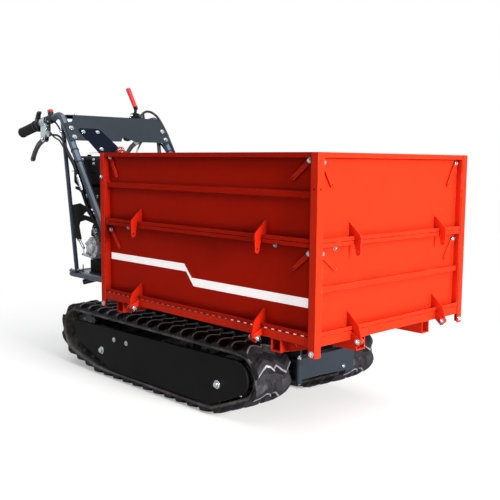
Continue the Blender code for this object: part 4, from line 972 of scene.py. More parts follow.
def seam_highlight_dashes():
    """A row of short bright dashes in the seam under the left and right lower sides: painted
    highlights, white toward the front and pale red behind.
    """
    start, pitch, length = -0.487, 0.0292, 0.0115
    dashes = Shape()
    for _, sx in SIDES:
        for i in range(34):
            y = start + i * pitch
            dashes.box(at(sx * 0.3766, y, 0.3697), at(sx * 0.3779, y + length, 0.3721),
                       mat=1 if y < -0.19 else 0)
    dashes.finish("seam_highlight_dashes", ["seam_highlight_pale", "decal_white"], "tipping_bed", angle=30,
                  bevel=0.0003, segments=1)


stripes()
for _latch in UPPER_LATCHES:
    upper_latch(*_latch)
for _latch in LOWER_LATCHES:
    lower_latch_bolt(*_latch)
for _side in ("left", "right"):
    side_nuts(_side, ((0.385, 0.6165), (-0.352, 0.6150)))
    hinge_bolts(_side, (0.306, -0.312))
side_nuts("front", ((0.276, 0.6150), (-0.276, 0.6150)))
hinge_bolts("front", (0.214, -0.227))
post_bolts()
seam_highlight_dashes()

# =====================================================================
# Handles, grips and levers
# =====================================================================
HANDLE_X = 0.248
SLOPE = 0.0700 / 0.3387                 # fall of the handle tube's top toward the back
ALONG_TUBE = Vector((0, 1.0, -SLOPE)).normalized()
OFF_TUBE = Vector((0, SLOPE, 1.0)).normalized()
RAKE = 0.669                            # run of the tube's leg toward the back per height

# centre of the brake cable on the right: x, y, z
BRAKE_CABLE = [
    (0.248, 1.1500, 0.9590), (0.248, 1.1250, 0.9635), (0.248, 1.1000, 0.9630),
    (0.252, 1.0460, 0.9570), (0.258, 0.9970, 0.9310), (0.263, 0.9530, 0.8860),
    (0.263, 0.9060, 0.8380), (0.263, 0.8810, 0.7926), (0.262, 0.8560, 0.7468),
    (0.258, 0.8430, 0.7128), (0.250, 0.8400, 0.6788), (0.240, 0.8320, 0.6507),
    (0.222, 0.8220, 0.6064), (0.196, 0.8000, 0.5400), (0.165, 0.8000, 0.4400),
    (0.150, 0.8000, 0.3860),
]
BUNDLE = BRAKE_CABLE[4:10]              # stretch the stop wire and throttle cable follow


def top_z(y):
    """Height of the centre of the handle tube's sloping top."""
    return 1.0490 - SLOPE * (y - 1.0273)


def leg_y(z):
    """y of the centre of the handle tube's raked leg."""
    return 0.951 + RAKE * (z - 0.935)


def grip(side, sx):
    rib = ((0.0206, 0.0), (0.0212, 0.0012), (0.0222, 0.0020), (0.0222, 0.0046),
           (0.0212, 0.0054), (0.0206, 0.0062))
    profile = [(0.0166, -0.1275), (0.0235, -0.1275), (0.0250, -0.1255), (0.0250, -0.1220),
               (0.0225, -0.1195)]
    for i in range(14):
        profile += [(radius, -0.1150 + 0.0082 * i + along) for radius, along in rib]
    profile += [(0.0215, 0.0), (0.0232, 0.0010), (0.0232, 0.0050), (0.0205, 0.0078),
                (0.0150, 0.0080), (0.0, 0.0080), (0.0, 0.0006), (0.0166, 0.0006)]
    handle = Shape()
    handle.lathe(profile, at(sx * HANDLE_X, 1.3660, 0.9790), ALONG_TUBE, 36)
    handle.finish(side + "_ribbed_grip", "grip_rubber", angle=50, replaces=(side + "_grip",))


def lever_screws(side, sx):
    screws = Shape()
    for s in (-1, 1):
        screws.bolt(at(sx * HANDLE_X + s * 0.0133, 1.172, 0.948), X * s,
                    (0.0095, 0.0040, 0.0078, 0.0009))
    y = 1.165
    clamp = at(sx * HANDLE_X, y, top_z(y))
    for along in (-0.011, 0.011):
        for s in (-1, 1):
            screws.bolt(clamp + ALONG_TUBE * along + X * (s * 0.0207), X * s,
                        (0.0070, 0.0030, 0.0, 0.0))
    screws.finish(side + "_lever_screws", "zinc")


def lever_detail(side, sx):
    """A rib along each face of the brake lever's blade, pivot discs and a pad below."""
    def blade(rows):
        return [at(sx * HANDLE_X, y, z) for y, z in rows]

    ribs = Shape()
    top = blade([(1.186, 0.9520), (1.204, 0.9405), (1.230, 0.9265), (1.258, 0.9000),
                 (1.279, 0.8730), (1.289, 0.8560)])
    for s in (sx, -sx):
        ribs.hose([p + X * (s * 0.0060) for p in top], 0.0024, 10, steps=6)
    for s in (-1, 1):
        ribs.lathe([(0.0, 0.0), (0.0095, 0.0), (0.0095, 0.0022), (0.0080, 0.0028), (0.0, 0.0028)],
                   at(sx * HANDLE_X + s * 0.0066, 1.173, 0.9475), X * s, 20)
    ribs.finish(side + "_lever_ribs", "lever_metal", side + "_brake_lever_body")
    pad = Shape()
    pad.hose(blade([(1.196, 0.9335), (1.218, 0.9215), (1.243, 0.9010), (1.262, 0.8755),
                    (1.273, 0.8560)]), 0.0052, 12, steps=6, end_radius=0.0040)
    pad.finish(side + "_lever_pad", "lever_metal", side + "_brake_lever_body")


def brake_cable(side, sx):
    run = points(BRAKE_CABLE, sx)
    cable = Shape()
    cable.hose(run, 0.0046, 12)
    cable.finish(side + "_brake_cable", "cable_black")

    adjusters = Shape()
    adjusters.lathe(
        [(0, -0.004), (0.0058, -0.004), (0.0062, -0.003), (0.0062, 0.006), (0.0052, 0.007),
         (0.0052, 0.009), (0.0066, 0.0095), (0.0066, 0.014), (0.0056, 0.0150), (0.0056, 0.022),
         (0, 0.022)], run[0] + Vector((0, -0.002, 0.0005)), (0, -1, 0.12), 20)
    along = (run[8] - run[7]).normalized()
    adjusters.lathe(
        [(0, -0.006), (0.0056, -0.006), (0.0062, -0.004), (0.0062, 0.012), (0.0088, 0.0126),
         (0.0088, 0.0186), (0.0070, 0.0192), (0.0070, 0.0420), (0.0088, 0.0426),
         (0.0088, 0.0476), (0.0066, 0.0482), (0.0066, 0.0560), (0.0058, 0.0570),
         (0.0058, 0.0640), (0, 0.0640)], run[7] + along * 0.004, along, 24)
    adjusters.finish(side + "_cable_adjusters", "zinc")


def cable_ties(side, sx):
    ties = Shape()
    for z in (0.895, 0.845, 0.560):
        centre = at(sx * HANDLE_X, leg_y(z), z)
        ties.lathe([(0.0157, -0.0022), (0.0172, -0.0022), (0.0176, 0.0), (0.0172, 0.0022),
                    (0.0157, 0.0022)], centre, (0, RAKE, 1.0), 28)
        ties.box(centre + Vector((-0.003, 0.0150, -0.0035)),
                 centre + Vector((0.003, 0.0230, 0.0035)))
    ties.finish(side + "_cable_ties", "cable_black", bevel=0.0003, segments=1)


def tube_bolts(side, sx):
    bolts = Shape()
    # offset from the tube's x, y, z, facing, size
    for out, y, z, facing, size in (
            (0.0, 0.911, 0.3950, Z, (0.0085, 0.0040, 0.0060, 0.001)),
            (0.014, 0.946, 0.3950, Z, (0.0085, 0.0040, 0.0056, 0.001)),
            (0.0195, 0.604, 0.3975, X * sx, (0.0085, 0.0040, 0.0056, 0.001)),
            (0.0130, 1.0135, 0.976, X * sx, (0.0090, 0.0045, 0.0075, 0.001))):
        bolts.bolt(at(sx * (HANDLE_X + out), y, z), facing, size)
    bolts.finish(side + "_tube_bolts", "zinc")


def console_bolts():
    facing = Vector((0, -1, RAKE))
    face = -(0.0160 * math.sqrt(1 + RAKE * RAKE)) - 0.0036      # plate's front, from the leg
    raised = face - 0.0046
    bolts = Shape()
    for rows, offset, size in (
            (((-0.2385, 0.990), (-0.2385, 0.9525), (0.2385, 0.990), (0.2385, 0.9525)), face,
             (0.0120, 0.0052, 0.0105, 0.0012)),
            (((-0.190, 0.975), (-0.120, 0.975), (-0.132, 0.903)), raised,
             (0.0105, 0.0048, 0.0088, 0.0012))):
        bolts.bolts([at(x, leg_y(z) + offset, z) for x, z in rows], facing, size)
    bolts.bolts([at(x, 1.030, 1.0470) for x in (-0.180, 0.170)], Z,
                (0.0105, 0.0045, 0.0090, 0.0012))
    bolts.finish("console_bolts", "zinc")


def stop_switch():
    y = 1.112
    centre = at(-HANDLE_X, y, top_z(y))
    collar = Shape()
    collar.lathe([(0.0098, 0.0262), (0.0128, 0.0262), (0.0134, 0.0266), (0.0134, 0.0276),
                  (0.0126, 0.0281), (0.0098, 0.0281)], centre, OFF_TUBE, 32)
    collar.finish("stop_collar", "black_plastic")
    screws = Shape()
    for s in (-1, 1):
        screws.bolt(centre + X * (s * 0.0165) - OFF_TUBE * 0.0118, (s * 0.7, 0, -0.7),
                    (0.0060, 0.0026, 0.0, 0.0))
    screws.finish("stop_screws", "zinc")
    wire = Shape()
    rows = [(-HANDLE_X + 0.0165, 1.115, top_z(1.115) - 0.010), (-HANDLE_X + 0.0205, 1.095, 1.004),
            (-HANDLE_X + 0.0120, 1.050, 0.972)]
    rows += [(-x + 0.0080, y + 0.0065, z) for x, y, z in BUNDLE]
    rows += [(-0.2400, 0.8400, 0.6700), (-0.2150, 0.8300, 0.6250), (-0.150, 0.850, 0.600)]
    wire.hose(points(rows), 0.0036, 10)
    wire.finish("stop_wire", "cable_black")


def throttle():
    y = 1.222
    centre = at(-HANDLE_X, y, top_z(y))
    clamp = Shape()
    clamp.lathe([(0.0163, -0.010), (0.0200, -0.010), (0.0208, -0.008), (0.0208, 0.008),
                 (0.0200, 0.010), (0.0163, 0.010)], centre, ALONG_TUBE, 32)
    clamp.box(centre + Vector((-0.010, -0.008, -0.0300)),
              centre + Vector((0.010, 0.008, -0.0180)))
    clamp.finish("throttle_clamp", "black_plastic", bevel=0.0008)
    cable = Shape()
    rows = [(-HANDLE_X + 0.0270, 1.190, 0.985), (-HANDLE_X + 0.0330, 1.150, 0.956),
            (-HANDLE_X + 0.0200, 1.090, 0.942), (-HANDLE_X + 0.0020, 1.040, 0.930)]
    rows += [(-x + 0.0015, y + 0.0105, z - 0.004) for x, y, z in BUNDLE[1:]]
    rows += [(-0.2350, 0.8550, 0.6600), (-0.2000, 0.8500, 0.6400), (-0.150, 0.840, 0.640)]
    cable.hose([centre + Vector((0.006, -0.007, -0.024))] + points(rows), 0.0036, 10)
    cable.finish("throttle_cable", "cable_black")


def clutch_lever():
    pivot = at(0.125, 1.020, 1.0600)
    stem = Vector((0, 0.42, 0.9075)).normalized()
    foot, tip = at(0.127, 1.0200, 1.0965), at(0.127, 1.0765, 1.1838)
    length = (tip - foot).length
    along = (tip - foot).normalized()

    profile = [(0.0, 0.0), (0.0092, 0.0), (0.0108, 0.0015), (0.0108, 0.0045)]
    q = 0.0070
    while q < length - 0.012:
        radius = 0.0098 + 0.0014 * q / length
        profile += [(radius - 0.0009, q), (radius, q + 0.0012), (radius, q + 0.0040),
                    (radius - 0.0009, q + 0.0052)]
        q += 0.0064
    profile += [(0.0112, length - 0.0080), (0.0108, length - 0.0030), (0.0080, length - 0.0004),
                (0.0, length)]
    handle = Shape()
    handle.lathe(profile, foot, along, 28)
    handle.finish("clutch_grip", "red_plastic", "clutch_lever_body", angle=40,
                  replaces=("clutch_lever",))

    collar = Shape()
    collar.rod(pivot - X * 0.0100, pivot + X * 0.0100, 0.0118, 28)
    bend = [pivot + stem * 0.004, at(0.126, 1.0170, 1.0800), foot + along * 0.004]
    collar.sweep(fillet(bend, 0.010, 5), 0.0066, 16)
    collar.lathe([(0.0, -0.0110), (0.0078, -0.0110), (0.0095, -0.0085), (0.0095, -0.0010),
                  (0.0, -0.0010)], foot, along, 24)
    collar.finish("clutch_collar", "black_paint", "clutch_lever_body", angle=40)

    bolts = Shape()
    for s in (-1, 1):
        bolts.bolt(pivot + X * (s * 0.0200), X * s, (0.0115, 0.0048, 0.0095, 0.0012))
    bolts.bolts([at(x, 1.031, 1.0500) for x in (0.1045, 0.1450)], Z, (0.0065, 0.003, 0.0, 0.0))
    bolts.finish("clutch_bolts", "zinc")


def clutch_cable():
    """A ribbed boot and the cable that runs from it down the right leg."""
    cable = Shape()
    cable.lathe([(0.0, 0.0), (0.0160, 0.0), (0.0170, 0.004), (0.0150, 0.010), (0.0162, 0.014),
                 (0.0140, 0.020), (0.0, 0.0205)], at(0.164, 1.026, 1.0472), Z, 24)
    rows = [(0.164, 1.026, 1.060), (0.182, 1.032, 1.075), (0.212, 1.043, 1.083),
            (0.243, 1.044, 1.077), (0.2610, 1.024, 1.052)]
    # down the leg: x, z, distance in front of the leg's centre
    for x, z, ahead in ((0.2625, 0.990, 0.017), (0.2625, 0.900, 0.017), (0.2625, 0.780, 0.017),
                        (0.2620, 0.620, 0.018), (0.2480, 0.470, 0.034)):
        rows.append((x, leg_y(z) - ahead, z))
    cable.hose(points(rows), 0.0055, 14)
    cable.finish("clutch_cable", "cable_black")


def gear_lever():
    collar = Shape()
    collar.lathe([(0.0, -0.010), (0.0070, -0.010), (0.0078, -0.008), (0.0078, 0.001),
                  (0.0, 0.001)], at(0.075, 1.098, 0.995), (0, 0.015, 0.021), 20)
    collar.finish("gear_knob_collar", "zinc", "gear_lever_body")
    rod = Shape()
    rod.bolt(at(0.0680, 0.985, 0.9550), X, (0.0110, 0.0045, 0.0085, 0.001))
    rod.hose(points([(0.140, 0.975, 0.945), (0.118, 0.962, 0.938), (0.094, 0.948, 0.918),
                     (0.070, 0.930, 0.890), (0.060, 0.905, 0.840)]), 0.0042, 12, steps=8)
    rod.finish("gear_rod", "steel")


for _side, _sx in SIDES:
    grip(_side, _sx)
    lever_screws(_side, _sx)
    lever_detail(_side, _sx)
    brake_cable(_side, _sx)
    cable_ties(_side, _sx)
    tube_bolts(_side, _sx)
console_bolts()
stop_switch()
throttle()
clutch_lever()
clutch_cable()
gear_lever()

# =====================================================================
# Fuel tank
# =====================================================================
TANK_LOW, TANK_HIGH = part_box("fuel_tank")


def tank_straps():
    low, high = TANK_LOW, TANK_HIGH
    width, thick = 0.020, 0.0018
    straps = Shape()
    for x in (-0.150, 0.095):
        straps.box((x, low.y - thick, low.z + 0.004), (x + width, low.y, high.z - 0.006))
        straps.box((x, low.y + 0.010, high.z), (x + width, high.y - 0.010, high.z + 0.0016))
        straps.box((x, high.y, low.z + 0.004), (x + width, high.y + thick, high.z - 0.006))
    straps.finish("tank_straps", "black_paint", bevel=0.0004, segments=1)


def tank_bolts():
    bolts = Shape()
    bolts.bolts([at(-0.222, y, z) for z in (0.8420, 0.8585) for y in (0.822, 0.905)], -X,
                (0.0080, 0.0040, 0.0066, 0.0010))
    bolts.bolts([at(-0.2226, y, 0.7080) for y in (0.800, 0.845, 0.882)], -X,
                (0.0090, 0.0040, 0.0078, 0.0010))
    for x in (-0.140, 0.105):
        for y, facing in ((0.7332, -Y), (0.9768, Y)):
            bolts.bolt(at(x, y, 0.800), facing, (0.0095, 0.0042, 0.0080, 0.001))
    bolts.finish("tank_bolts", "zinc")


def tank_tray():
    top = TANK_LOW.z - 0.0004
    tray = Shape()
    # y, z
    tray.plate([(0.969, 0.7340), (0.940, 0.7280), (0.912, 0.7120), (0.898, 0.6790),
                (0.872, 0.6690), (0.858, 0.6560), (0.815, 0.6540), (0.800, 0.6680),
                (0.760, 0.6800), (0.745, 0.7320), (0.745, top), (0.969, top)],
               -0.2226, -0.1700, YZ)
    tray.finish("tank_tray", "black_paint", bevel=0.0012)


def tank_seam():
    """Flange round the tank."""
    def outline(margin):
        x0, y0 = TANK_LOW.x - margin, TANK_LOW.y - BED_Y - margin
        x1, y1 = TANK_HIGH.x + margin, TANK_HIGH.y - BED_Y + margin
        return [(x0, y0), (x1, y0), (x1, y1), (x0, y1)]

    seam = Shape()
    seam.holed_plate(outline(0.004), outline(-0.002), 0.8080, 0.8110, XY)
    seam.finish("tank_seam", "black_paint", bevel=0.0006, segments=1)


def filler():
    neck = Shape()
    neck.lathe([(0.0, 0.0), (0.0270, 0.0), (0.0270, 0.003), (0.0205, 0.006), (0.0205, 0.0128),
                (0.0, 0.0128)], at(-0.075, 0.845, 0.8730), Z, 32)
    neck.finish("filler_neck", "steel")
    low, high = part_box("fuel_cap")
    centre = (low + high) / 2
    radius = (high.x - low.x) / 2
    height = high.z - low.z
    cap = Shape()
    cap.lathe([(0.0, 0.0), (radius, 0.0), (radius, height * 0.28),
               (radius - 0.0030, height * 0.40), (0.0165, height * 0.46),
               (0.0152, height * 0.52), (0.0152, height * 0.90), (0.0136, height),
               (0.0, height)], (centre.x, centre.y, low.z), Z, 36)
    for x, y in circle((centre.x, centre.y), 0.0149, 18):
        cap.rod((x, y, low.z + height * 0.52), (x, y, low.z + height * 0.90), 0.0013, 8)
    cap.finish("fuel_cap_ribs", "dark_red_plastic", "fuel_cap_body", angle=40,
               replaces=("fuel_cap",))


tank_straps()
tank_bolts()
tank_tray()
tank_seam()
filler()

# =====================================================================
# Engine and drive
# =====================================================================
DECK_Z = 0.3840                 # top of the engine platform
HOUSING = (0.838, 0.493)        # centre of the drive housing: y, z
FILTER = (0.790, 0.655)         # centre of the air filter: y, z


def engine_base():
    """Foot of the engine, the cover box beside it and their bolts."""
    foot = Shape()
    foot.box(at(-0.190, 0.700, 0.3842), at(-0.108, 0.912, 0.4360))
    foot.box(at(-0.184, 0.730, 0.4360), at(-0.1075, 0.892, 0.4700))
    foot.finish("engine_foot", "black_paint", bevel=0.003, segments=3)
    cover = Shape()
    cover.plate([(0.715, 0.5250), (0.715, 0.5720), (0.722, 0.5800), (0.850, 0.5760),
                 (0.864, 0.5680), (0.866, 0.5390), (0.852, 0.5385), (0.840, 0.5390),
                 (0.800, 0.5280)], -0.2150, -0.128, YZ)
    cover.finish("belt_cover", "black_plastic", bevel=0.005, segments=3)
    bolts = Shape()
    bolts.bolt(at(-0.2150, 0.8260, 0.5640), -X, (0.0120, 0.0060, 0.0105, 0.0015), stub=0.003)
    bolts.bolt(at(-0.2150, 0.7500, 0.5500), -X, (0.0090, 0.0040, 0.0078, 0.001))
    bolts.bolt(at(-0.2250, 0.9120, DECK_Z), Z, (0.0100, 0.0060, 0.0085, 0.001), stub=0.026)
    bolts.bolts([at(x, y, 0.4360) for x in (-0.180, -0.120) for y in (0.716, 0.904)], Z,
                (0.0100, 0.0045, 0.0085, 0.001))
    bolts.finish("engine_side_bolts", "zinc")


def housing_face():
    bolts = Shape()
    places = [at(-0.2320, *p) for p in circle(HOUSING, 0.038, 6, 2 * math.pi * 0.43 / 6)]
    bolts.bolts(places, -X, (0.0078, 0.0040, 0.0066, 0.001))
    bolts.finish("housing_bolts", "zinc")
    cap = Shape()
    cap.lathe([(0.0, 0.0), (0.0200, 0.0), (0.0210, 0.0012), (0.0200, 0.0036), (0.0130, 0.0042),
               (0.0115, 0.0070), (0.0060, 0.0078), (0.0, 0.0080)], at(-0.2350, *HOUSING), -X, 40)
    half = 0.0016
    for y, z in circle(HOUSING, 0.0426, 10):
        cap.box(at(-0.2200, y - half, z - half), at(-0.1300, y + half, z + half))
    cap.finish("housing_cap", "cast_aluminium")


def housing_lever():
    end = (0.8960, 0.4630)
    lever = Shape()
    lever.plate(stadium((0.848, 0.4590), end, 0.0060, 0.0042), -0.2378, -0.2345, YZ)
    lever.rod(at(-0.2378, *end), at(-0.2300, *end), 0.0026, 12)
    elbow = at(-0.2300, 0.8960, 0.4880)
    lever.sweep(fillet([at(-0.2235, 0.9390, 0.5190), at(-0.2262, 0.9240, 0.5080), elbow],
                       0.006, 5), 0.0058, 14)
    lever.sweep([elbow, at(-0.2305, 0.8960, 0.4660)], 0.0022, 10)
    lever.finish("housing_lever", "zinc")


def return_spring():
    """Coil between two pins."""
    low, high = at(-0.2310, 0.7820, 0.5290), at(-0.2310, 0.8240, 0.5800)
    wire, coil, turns, steps = 0.0019, 0.0056, 5, 12
    axis = (high - low).normalized()
    across_a = axis.orthogonal().normalized()
    across_b = axis.cross(across_a)
    length = (high - low).length - 0.016
    path = []
    for i in range(turns * steps + 1):
        share = i / (turns * steps)
        angle = 2 * math.pi * turns * share
        path.append(low + axis * (0.008 + length * share)
                    + (across_a * math.cos(angle) + across_b * math.sin(angle)) * coil)
    spring = Shape()
    spring.sweep(path, wire, 8)
    spring.rod(low, low + axis * 0.010, wire, 8)
    spring.rod(high - axis * 0.010, high, wire, 8)
    for end in (low, high):
        spring.rod(end - X * 0.0020, end + X * 0.0180, 0.0034, 12)
    spring.finish("return_spring", "steel")


def cable_bracket():
    """Plate with a three-cornered opening, and a bent rod beside it."""
    opening = [(0.9100, 0.6275), (0.8540, 0.6215), (0.8850, 0.6440)]
    outline = [
        (1.0020, 0.6400), (0.9980, 0.5980), (0.9880, 0.5390), (0.9500, 0.5120),
        (0.9270, 0.5250), (0.9380, 0.5560), (0.9440, 0.5780), (0.9359, 0.5960),
        (0.8900, 0.6060), (0.8272, 0.5944), (0.7600, 0.5860), (0.7600, 0.6100),
        (0.8058, 0.6130), (0.8687, 0.6470), (0.8898, 0.6640), (0.9334, 0.6750),
        (0.9899, 0.6660),
    ]
    bracket = Shape()
    bracket.holed_plate(outline, opening, -0.2235, -0.2195, YZ)
    bracket.finish("cable_bracket", "black_paint", bevel=0.0005)
    rod = Shape()
    bends = points([(-0.2190, 0.9900, 0.6550), (-0.2140, 0.9980, 0.6000),
                    (-0.2140, 0.9820, 0.5420), (-0.2140, 0.9500, 0.5170)])
    rod.sweep(fillet(bends, 0.02, 6), 0.0055, 12)
    rod.finish("bracket_rod", "black_paint")


def air_filter():
    can = Shape()
    can.lathe([(0.0, 0.0), (0.0400, 0.0), (0.0440, 0.004), (0.0440, 0.040), (0.0460, 0.042),
               (0.0460, 0.048), (0.0440, 0.050), (0.0440, 0.058), (0.0400, 0.064),
               (0.0200, 0.066), (0.0, 0.066)], at(-0.118, *FILTER), -X, 40)
    for inner, outer in zip(circle(FILTER, 0.014, 12), circle(FILTER, 0.036, 12)):
        can.rod(at(-0.1820, *inner), at(-0.1820, *outer), 0.0016, 8)
    can.finish("air_filter", "black_plastic")
    nut = Shape()
    nut.bolt(at(-0.1840, *FILTER), -X, (0.0120, 0.0060, 0.0110, 0.0015))
    nut.finish("air_filter_nut", "zinc")


def engine_side_cover():
    cover = Shape()
    cover.plate([(0.800, 0.5400), (0.892, 0.5400), (0.900, 0.5480), (0.900, 0.5760),
                 (0.886, 0.5960), (0.812, 0.5960), (0.800, 0.5840)], -0.1860, -0.1400, YZ)
    for i in range(5):
        y = 0.812 + i * 0.0165
        cover.box(at(-0.1880, y, 0.5480), at(-0.1850, y + 0.008, 0.5820))
    cover.finish("engine_side_cover", "black_plastic", bevel=0.0015)


def carburettor():
    body = Shape()
    body.box(at(-0.120, 0.765, 0.632), at(-0.086, 0.815, 0.682))
    body.rod(at(-0.103, 0.790, 0.596), at(-0.103, 0.790, 0.632), 0.018, 28)
    body.rod(at(-0.103, 0.790, 0.588), at(-0.103, 0.790, 0.596), 0.013, 28, 0.017)
    body.finish("carburettor", "cast_aluminium", bevel=0.0016)


def engine_hoses():
    fuel = Shape()
    fuel.hose(points([(-0.110, 0.820, 0.628), (-0.130, 0.850, 0.640), (-0.150, 0.878, 0.680),
                      (-0.140, 0.880, 0.730), (-0.120, 0.860, 0.748)]), 0.0040, 12, steps=8)
    fuel.finish("fuel_hose", "cable_black")
    spark = Shape()
    spark.hose(points([(0.020, 0.705, 0.742), (0.020, 0.685, 0.735), (0.030, 0.672, 0.700),
                       (0.060, 0.672, 0.640), (0.085, 0.690, 0.590), (0.090, 0.700, 0.560)]),
               0.0036, 12, steps=8)
    spark.lathe([(0, 0), (0.0085, 0), (0.0095, 0.004), (0.0085, 0.018), (0.0060, 0.026),
                 (0.0, 0.027)], at(0.020, 0.708, 0.716), (0, -0.35, 1), 20)
    spark.finish("spark_lead", "cable_black")


def recoil_starter():
    """Radial bars round the cover, left out behind the starter handle; a disc and screws."""
    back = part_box("recoil_cover")[1].y
    x0, z0 = centre = (0.010, 0.500)
    vents = Shape()
    rings = (circle(centre, radius, 24) for radius in (0.044, 0.06, 0.074))
    for inner, middle, outer in zip(*rings):
        if abs(middle[0] - 0.086) < 0.022 and abs(middle[1] - 0.549) < 0.022:
            continue
        start, end = [(x, back + 0.0012, z) for x, z in (inner, outer)]
        vents.rod(start, end, 0.0026, 8, 0.0032)
    vents.finish("recoil_vents", "steel", angle=50)
    disc = Shape()
    disc.lathe([(0.0, 0.0), (0.0340, 0.0), (0.0350, 0.002), (0.0330, 0.0060),
                (0.0120, 0.0085), (0.0, 0.0088)], (x0, back - 0.0006, z0), Y, 40)
    disc.finish("recoil_centre", "black_plastic")
    screws = Shape()
    screws.bolts([Vector((x, back - 0.0040, z))
                  for x, z in circle(centre, 0.0788, 4, math.pi / 4 + 0.35)], Y,
                 (0.0075, 0.0042, 0.0, 0.0))
    screws.finish("recoil_screws", "zinc")


def muffler():
    low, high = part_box("muffler_guard")
    louvres = Shape()
    for row in range(3):
        for column in range(7):
            y = low.y + 0.022 + column * (high.y - low.y - 0.044) / 6
            z = low.z + 0.028 + row * (high.z - low.z - 0.056) / 2
            louvres.lathe([(0.0, -0.0008), (0.0076, -0.0008), (0.0084, 0.0006), (0.0076, 0.0014),
                           (0.0058, 0.0010), (0.0050, 0.0002), (0.0, 0.0002)],
                          (high.x, y, z), X, 20)
    louvres.finish("muffler_louvres", "steel")
    corner = Vector((high.x, low.y, high.z))
    pipe = Shape()
    pipe.hose([corner + Vector(p) for p in (
        (-0.030, 0.020, -0.020), (-0.028, -0.010, -0.016), (-0.014, -0.028, -0.010),
        (0.002, -0.040, -0.004))], 0.0110, 20, steps=8)
    pipe.finish("exhaust_pipe", "steel")


def chassis_bolts():
    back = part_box("gearbox")[1].y
    gearbox = Shape()
    gearbox.bolts([Vector((x, back, 0.122 + i * 0.019)) for i in range(7)
                   for x in (-0.080, 0.080)], Y, (0.0090, 0.0045, 0.0078, 0.001))
    gearbox.finish("gearbox_bolts", "zinc")
    platform = Shape()
    platform.bolts([at(x, y, DECK_Z) for x in (-0.215, 0.215) for y in (0.640, 0.760, 0.880)],
                   Z, (0.0120, 0.0052, 0.0100, 0.0012))
    platform.finish("platform_bolts", "zinc")
    low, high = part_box("front_guard")
    guard = Shape()
    guard.bolt(at(-0.139, -0.254, high.z), Z, (0.0130, 0.0060, 0.0100, 0.001), stub=0.004)
    guard.bolt(at(-0.139, -0.254, low.z), -Z, (0.0110, 0.0050, 0.0078, 0.001))
    guard.bolt(at(0.085, -0.2585, 0.1555), -Y, (0.0080, 0.0035, 0.0065, 0.001))
    guard.finish("guard_bolts", "zinc")
    pivots = Shape()
    for _, sx in SIDES:
        pivots.bolt(at(sx * 0.192, -0.230, 0.280), X * sx, (0.0190, 0.0090, 0.0160, 0.002))
    pivots.finish("tipping_pivot_nuts", "zinc")


engine_base()
housing_face()
housing_lever()
return_spring()
cable_bracket()
air_filter()
engine_side_cover()
carburettor()
engine_hoses()
recoil_starter()
muffler()
chassis_bolts()

# =====================================================================
# Floor, light and camera
# =====================================================================
WHITE = (1, 1, 1)


def floor_material():
    """Grey to the camera, pale to the light, fading to plain white away from the middle."""
    shader = Shader("floor_pale")
    mottle = shader.noise(scale=3.0, detail=4, rough=0.5)
    pale = shader.ramp(mottle, (0.3, 0.7), ((0.88, 0.88, 0.89), (0.91, 0.91, 0.915)))
    seen = shader.add("LightPath").outputs["Is Camera Ray"]
    shader.surface({
        "Base Color": shader.mix(seen, (0.40, 0.40, 0.41), pale),
        "Roughness": 0.85,
        "Specular IOR Level": 0.05,
    })
    distance = shader.add("VectorMath", {0: shader.place}, operation='LENGTH').outputs["Value"]
    fade = shader.add("MapRange", {"To Min": 0.30, "From Min": 0.2, "From Max": 2.2,
                                   "Value": distance}, interpolation_type='SMOOTHSTEP')
    far = shader.multiply(fade.outputs[0], seen)
    glow = shader.add("Emission", {0: WHITE}).outputs[0]
    blend = shader.add("MixShader", {0: far, 1: shader.bsdf.outputs[0], 2: glow})
    shader.feed(shader.output.inputs["Surface"], blend.outputs[0])
    return shader.material


def build_floor():
    mesh = bpy.data.meshes.new("floor")
    bm = bmesh.new()
    bmesh.ops.create_grid(bm, x_segments=1, y_segments=1, size=14.0)
    bmesh.ops.translate(bm, verts=bm.verts, vec=(0, 0, -0.0006))
    bm.to_mesh(mesh)
    bm.free()
    floor = bpy.data.objects.new("floor", mesh)
    bpy.context.scene.collection.objects.link(floor)
    mesh.materials.append(floor_material())


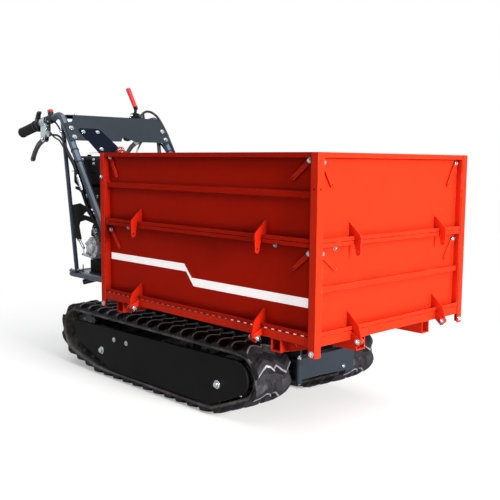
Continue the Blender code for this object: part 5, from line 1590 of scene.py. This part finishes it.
def build_world():
    """Dim light on the model, white to the camera and partly so in reflections."""
    world = bpy.data.worlds.new("studio")
    bpy.context.scene.world = world
    nodes = Nodes(world)
    output = nodes.add("OutputWorld")
    dim = nodes.add("Background", {0: (0.93, 0.96, 1.0), 1: 0.15}).outputs[0]
    white = nodes.add("Background", {0: WHITE, 1: 1.0}).outputs[0]
    ray = nodes.add("LightPath").outputs
    glossy = nodes.multiply(ray["Is Glossy Ray"], 0.62)
    share = nodes.maths('MAXIMUM', ray["Is Camera Ray"], glossy)
    blend = nodes.add("MixShader", {0: share, 1: dim, 2: white})
    nodes.feed(output.inputs[0], blend.outputs[0])


def lamp(name, kind, power, target, location=(0, 0, 0), **settings):
    light = bpy.data.lights.new(name, kind)
    light.energy = power
    for key, value in settings.items():
        setattr(light, key, value)
    ob = bpy.data.objects.new(name, light)
    ob.location = location
    aim = Vector(target) - Vector(location)
    ob.rotation_euler = aim.to_track_quat('-Z', 'Y').to_euler()
    bpy.context.scene.collection.objects.link(ob)


def build_lights():
    lamp("front_key", 'AREA', power=600, target=(0, -0.3, 0.5), location=(-0.58, -5.2, 1.6),
         color=(1.0, 0.985, 0.95), shape='RECTANGLE', size=1.3, size_y=1.3)
    lamp("left_fill", 'AREA', power=5, target=(0, 0, 0.5), location=(-4.2, 0.4, 1.8),
         color=(0.95, 0.97, 1.0), size=2.6)
    lamp("overhead", 'SUN', power=2.5, target=(0.10, 0.30, -1.0), angle=math.radians(62))


def build_camera():
    data = bpy.data.cameras.new("camera")
    data.lens = 55.2
    data.sensor_width = 36.0
    data.clip_end = 60
    camera = bpy.data.objects.new("camera", data)
    bpy.context.scene.collection.objects.link(camera)
    back = Vector((-0.68889, -0.71577, 0.11456))
    level = Vector((0.72051, -0.69345, 0.0))
    upright = Vector((0.07944, 0.08254, 0.99343))
    roll = math.radians(0.514)
    right = level * math.cos(roll) + upright * math.sin(roll)
    up = upright * math.cos(roll) - level * math.sin(roll)
    camera.matrix_world = plane(right, up, back, (-1.950, -1.900, 0.856))
    bpy.context.scene.camera = camera


build_floor()
build_world()
build_lights()
build_camera()
bpy.context.scene.view_settings.view_transform = 'Standard'

bpy.context.view_layer.update()
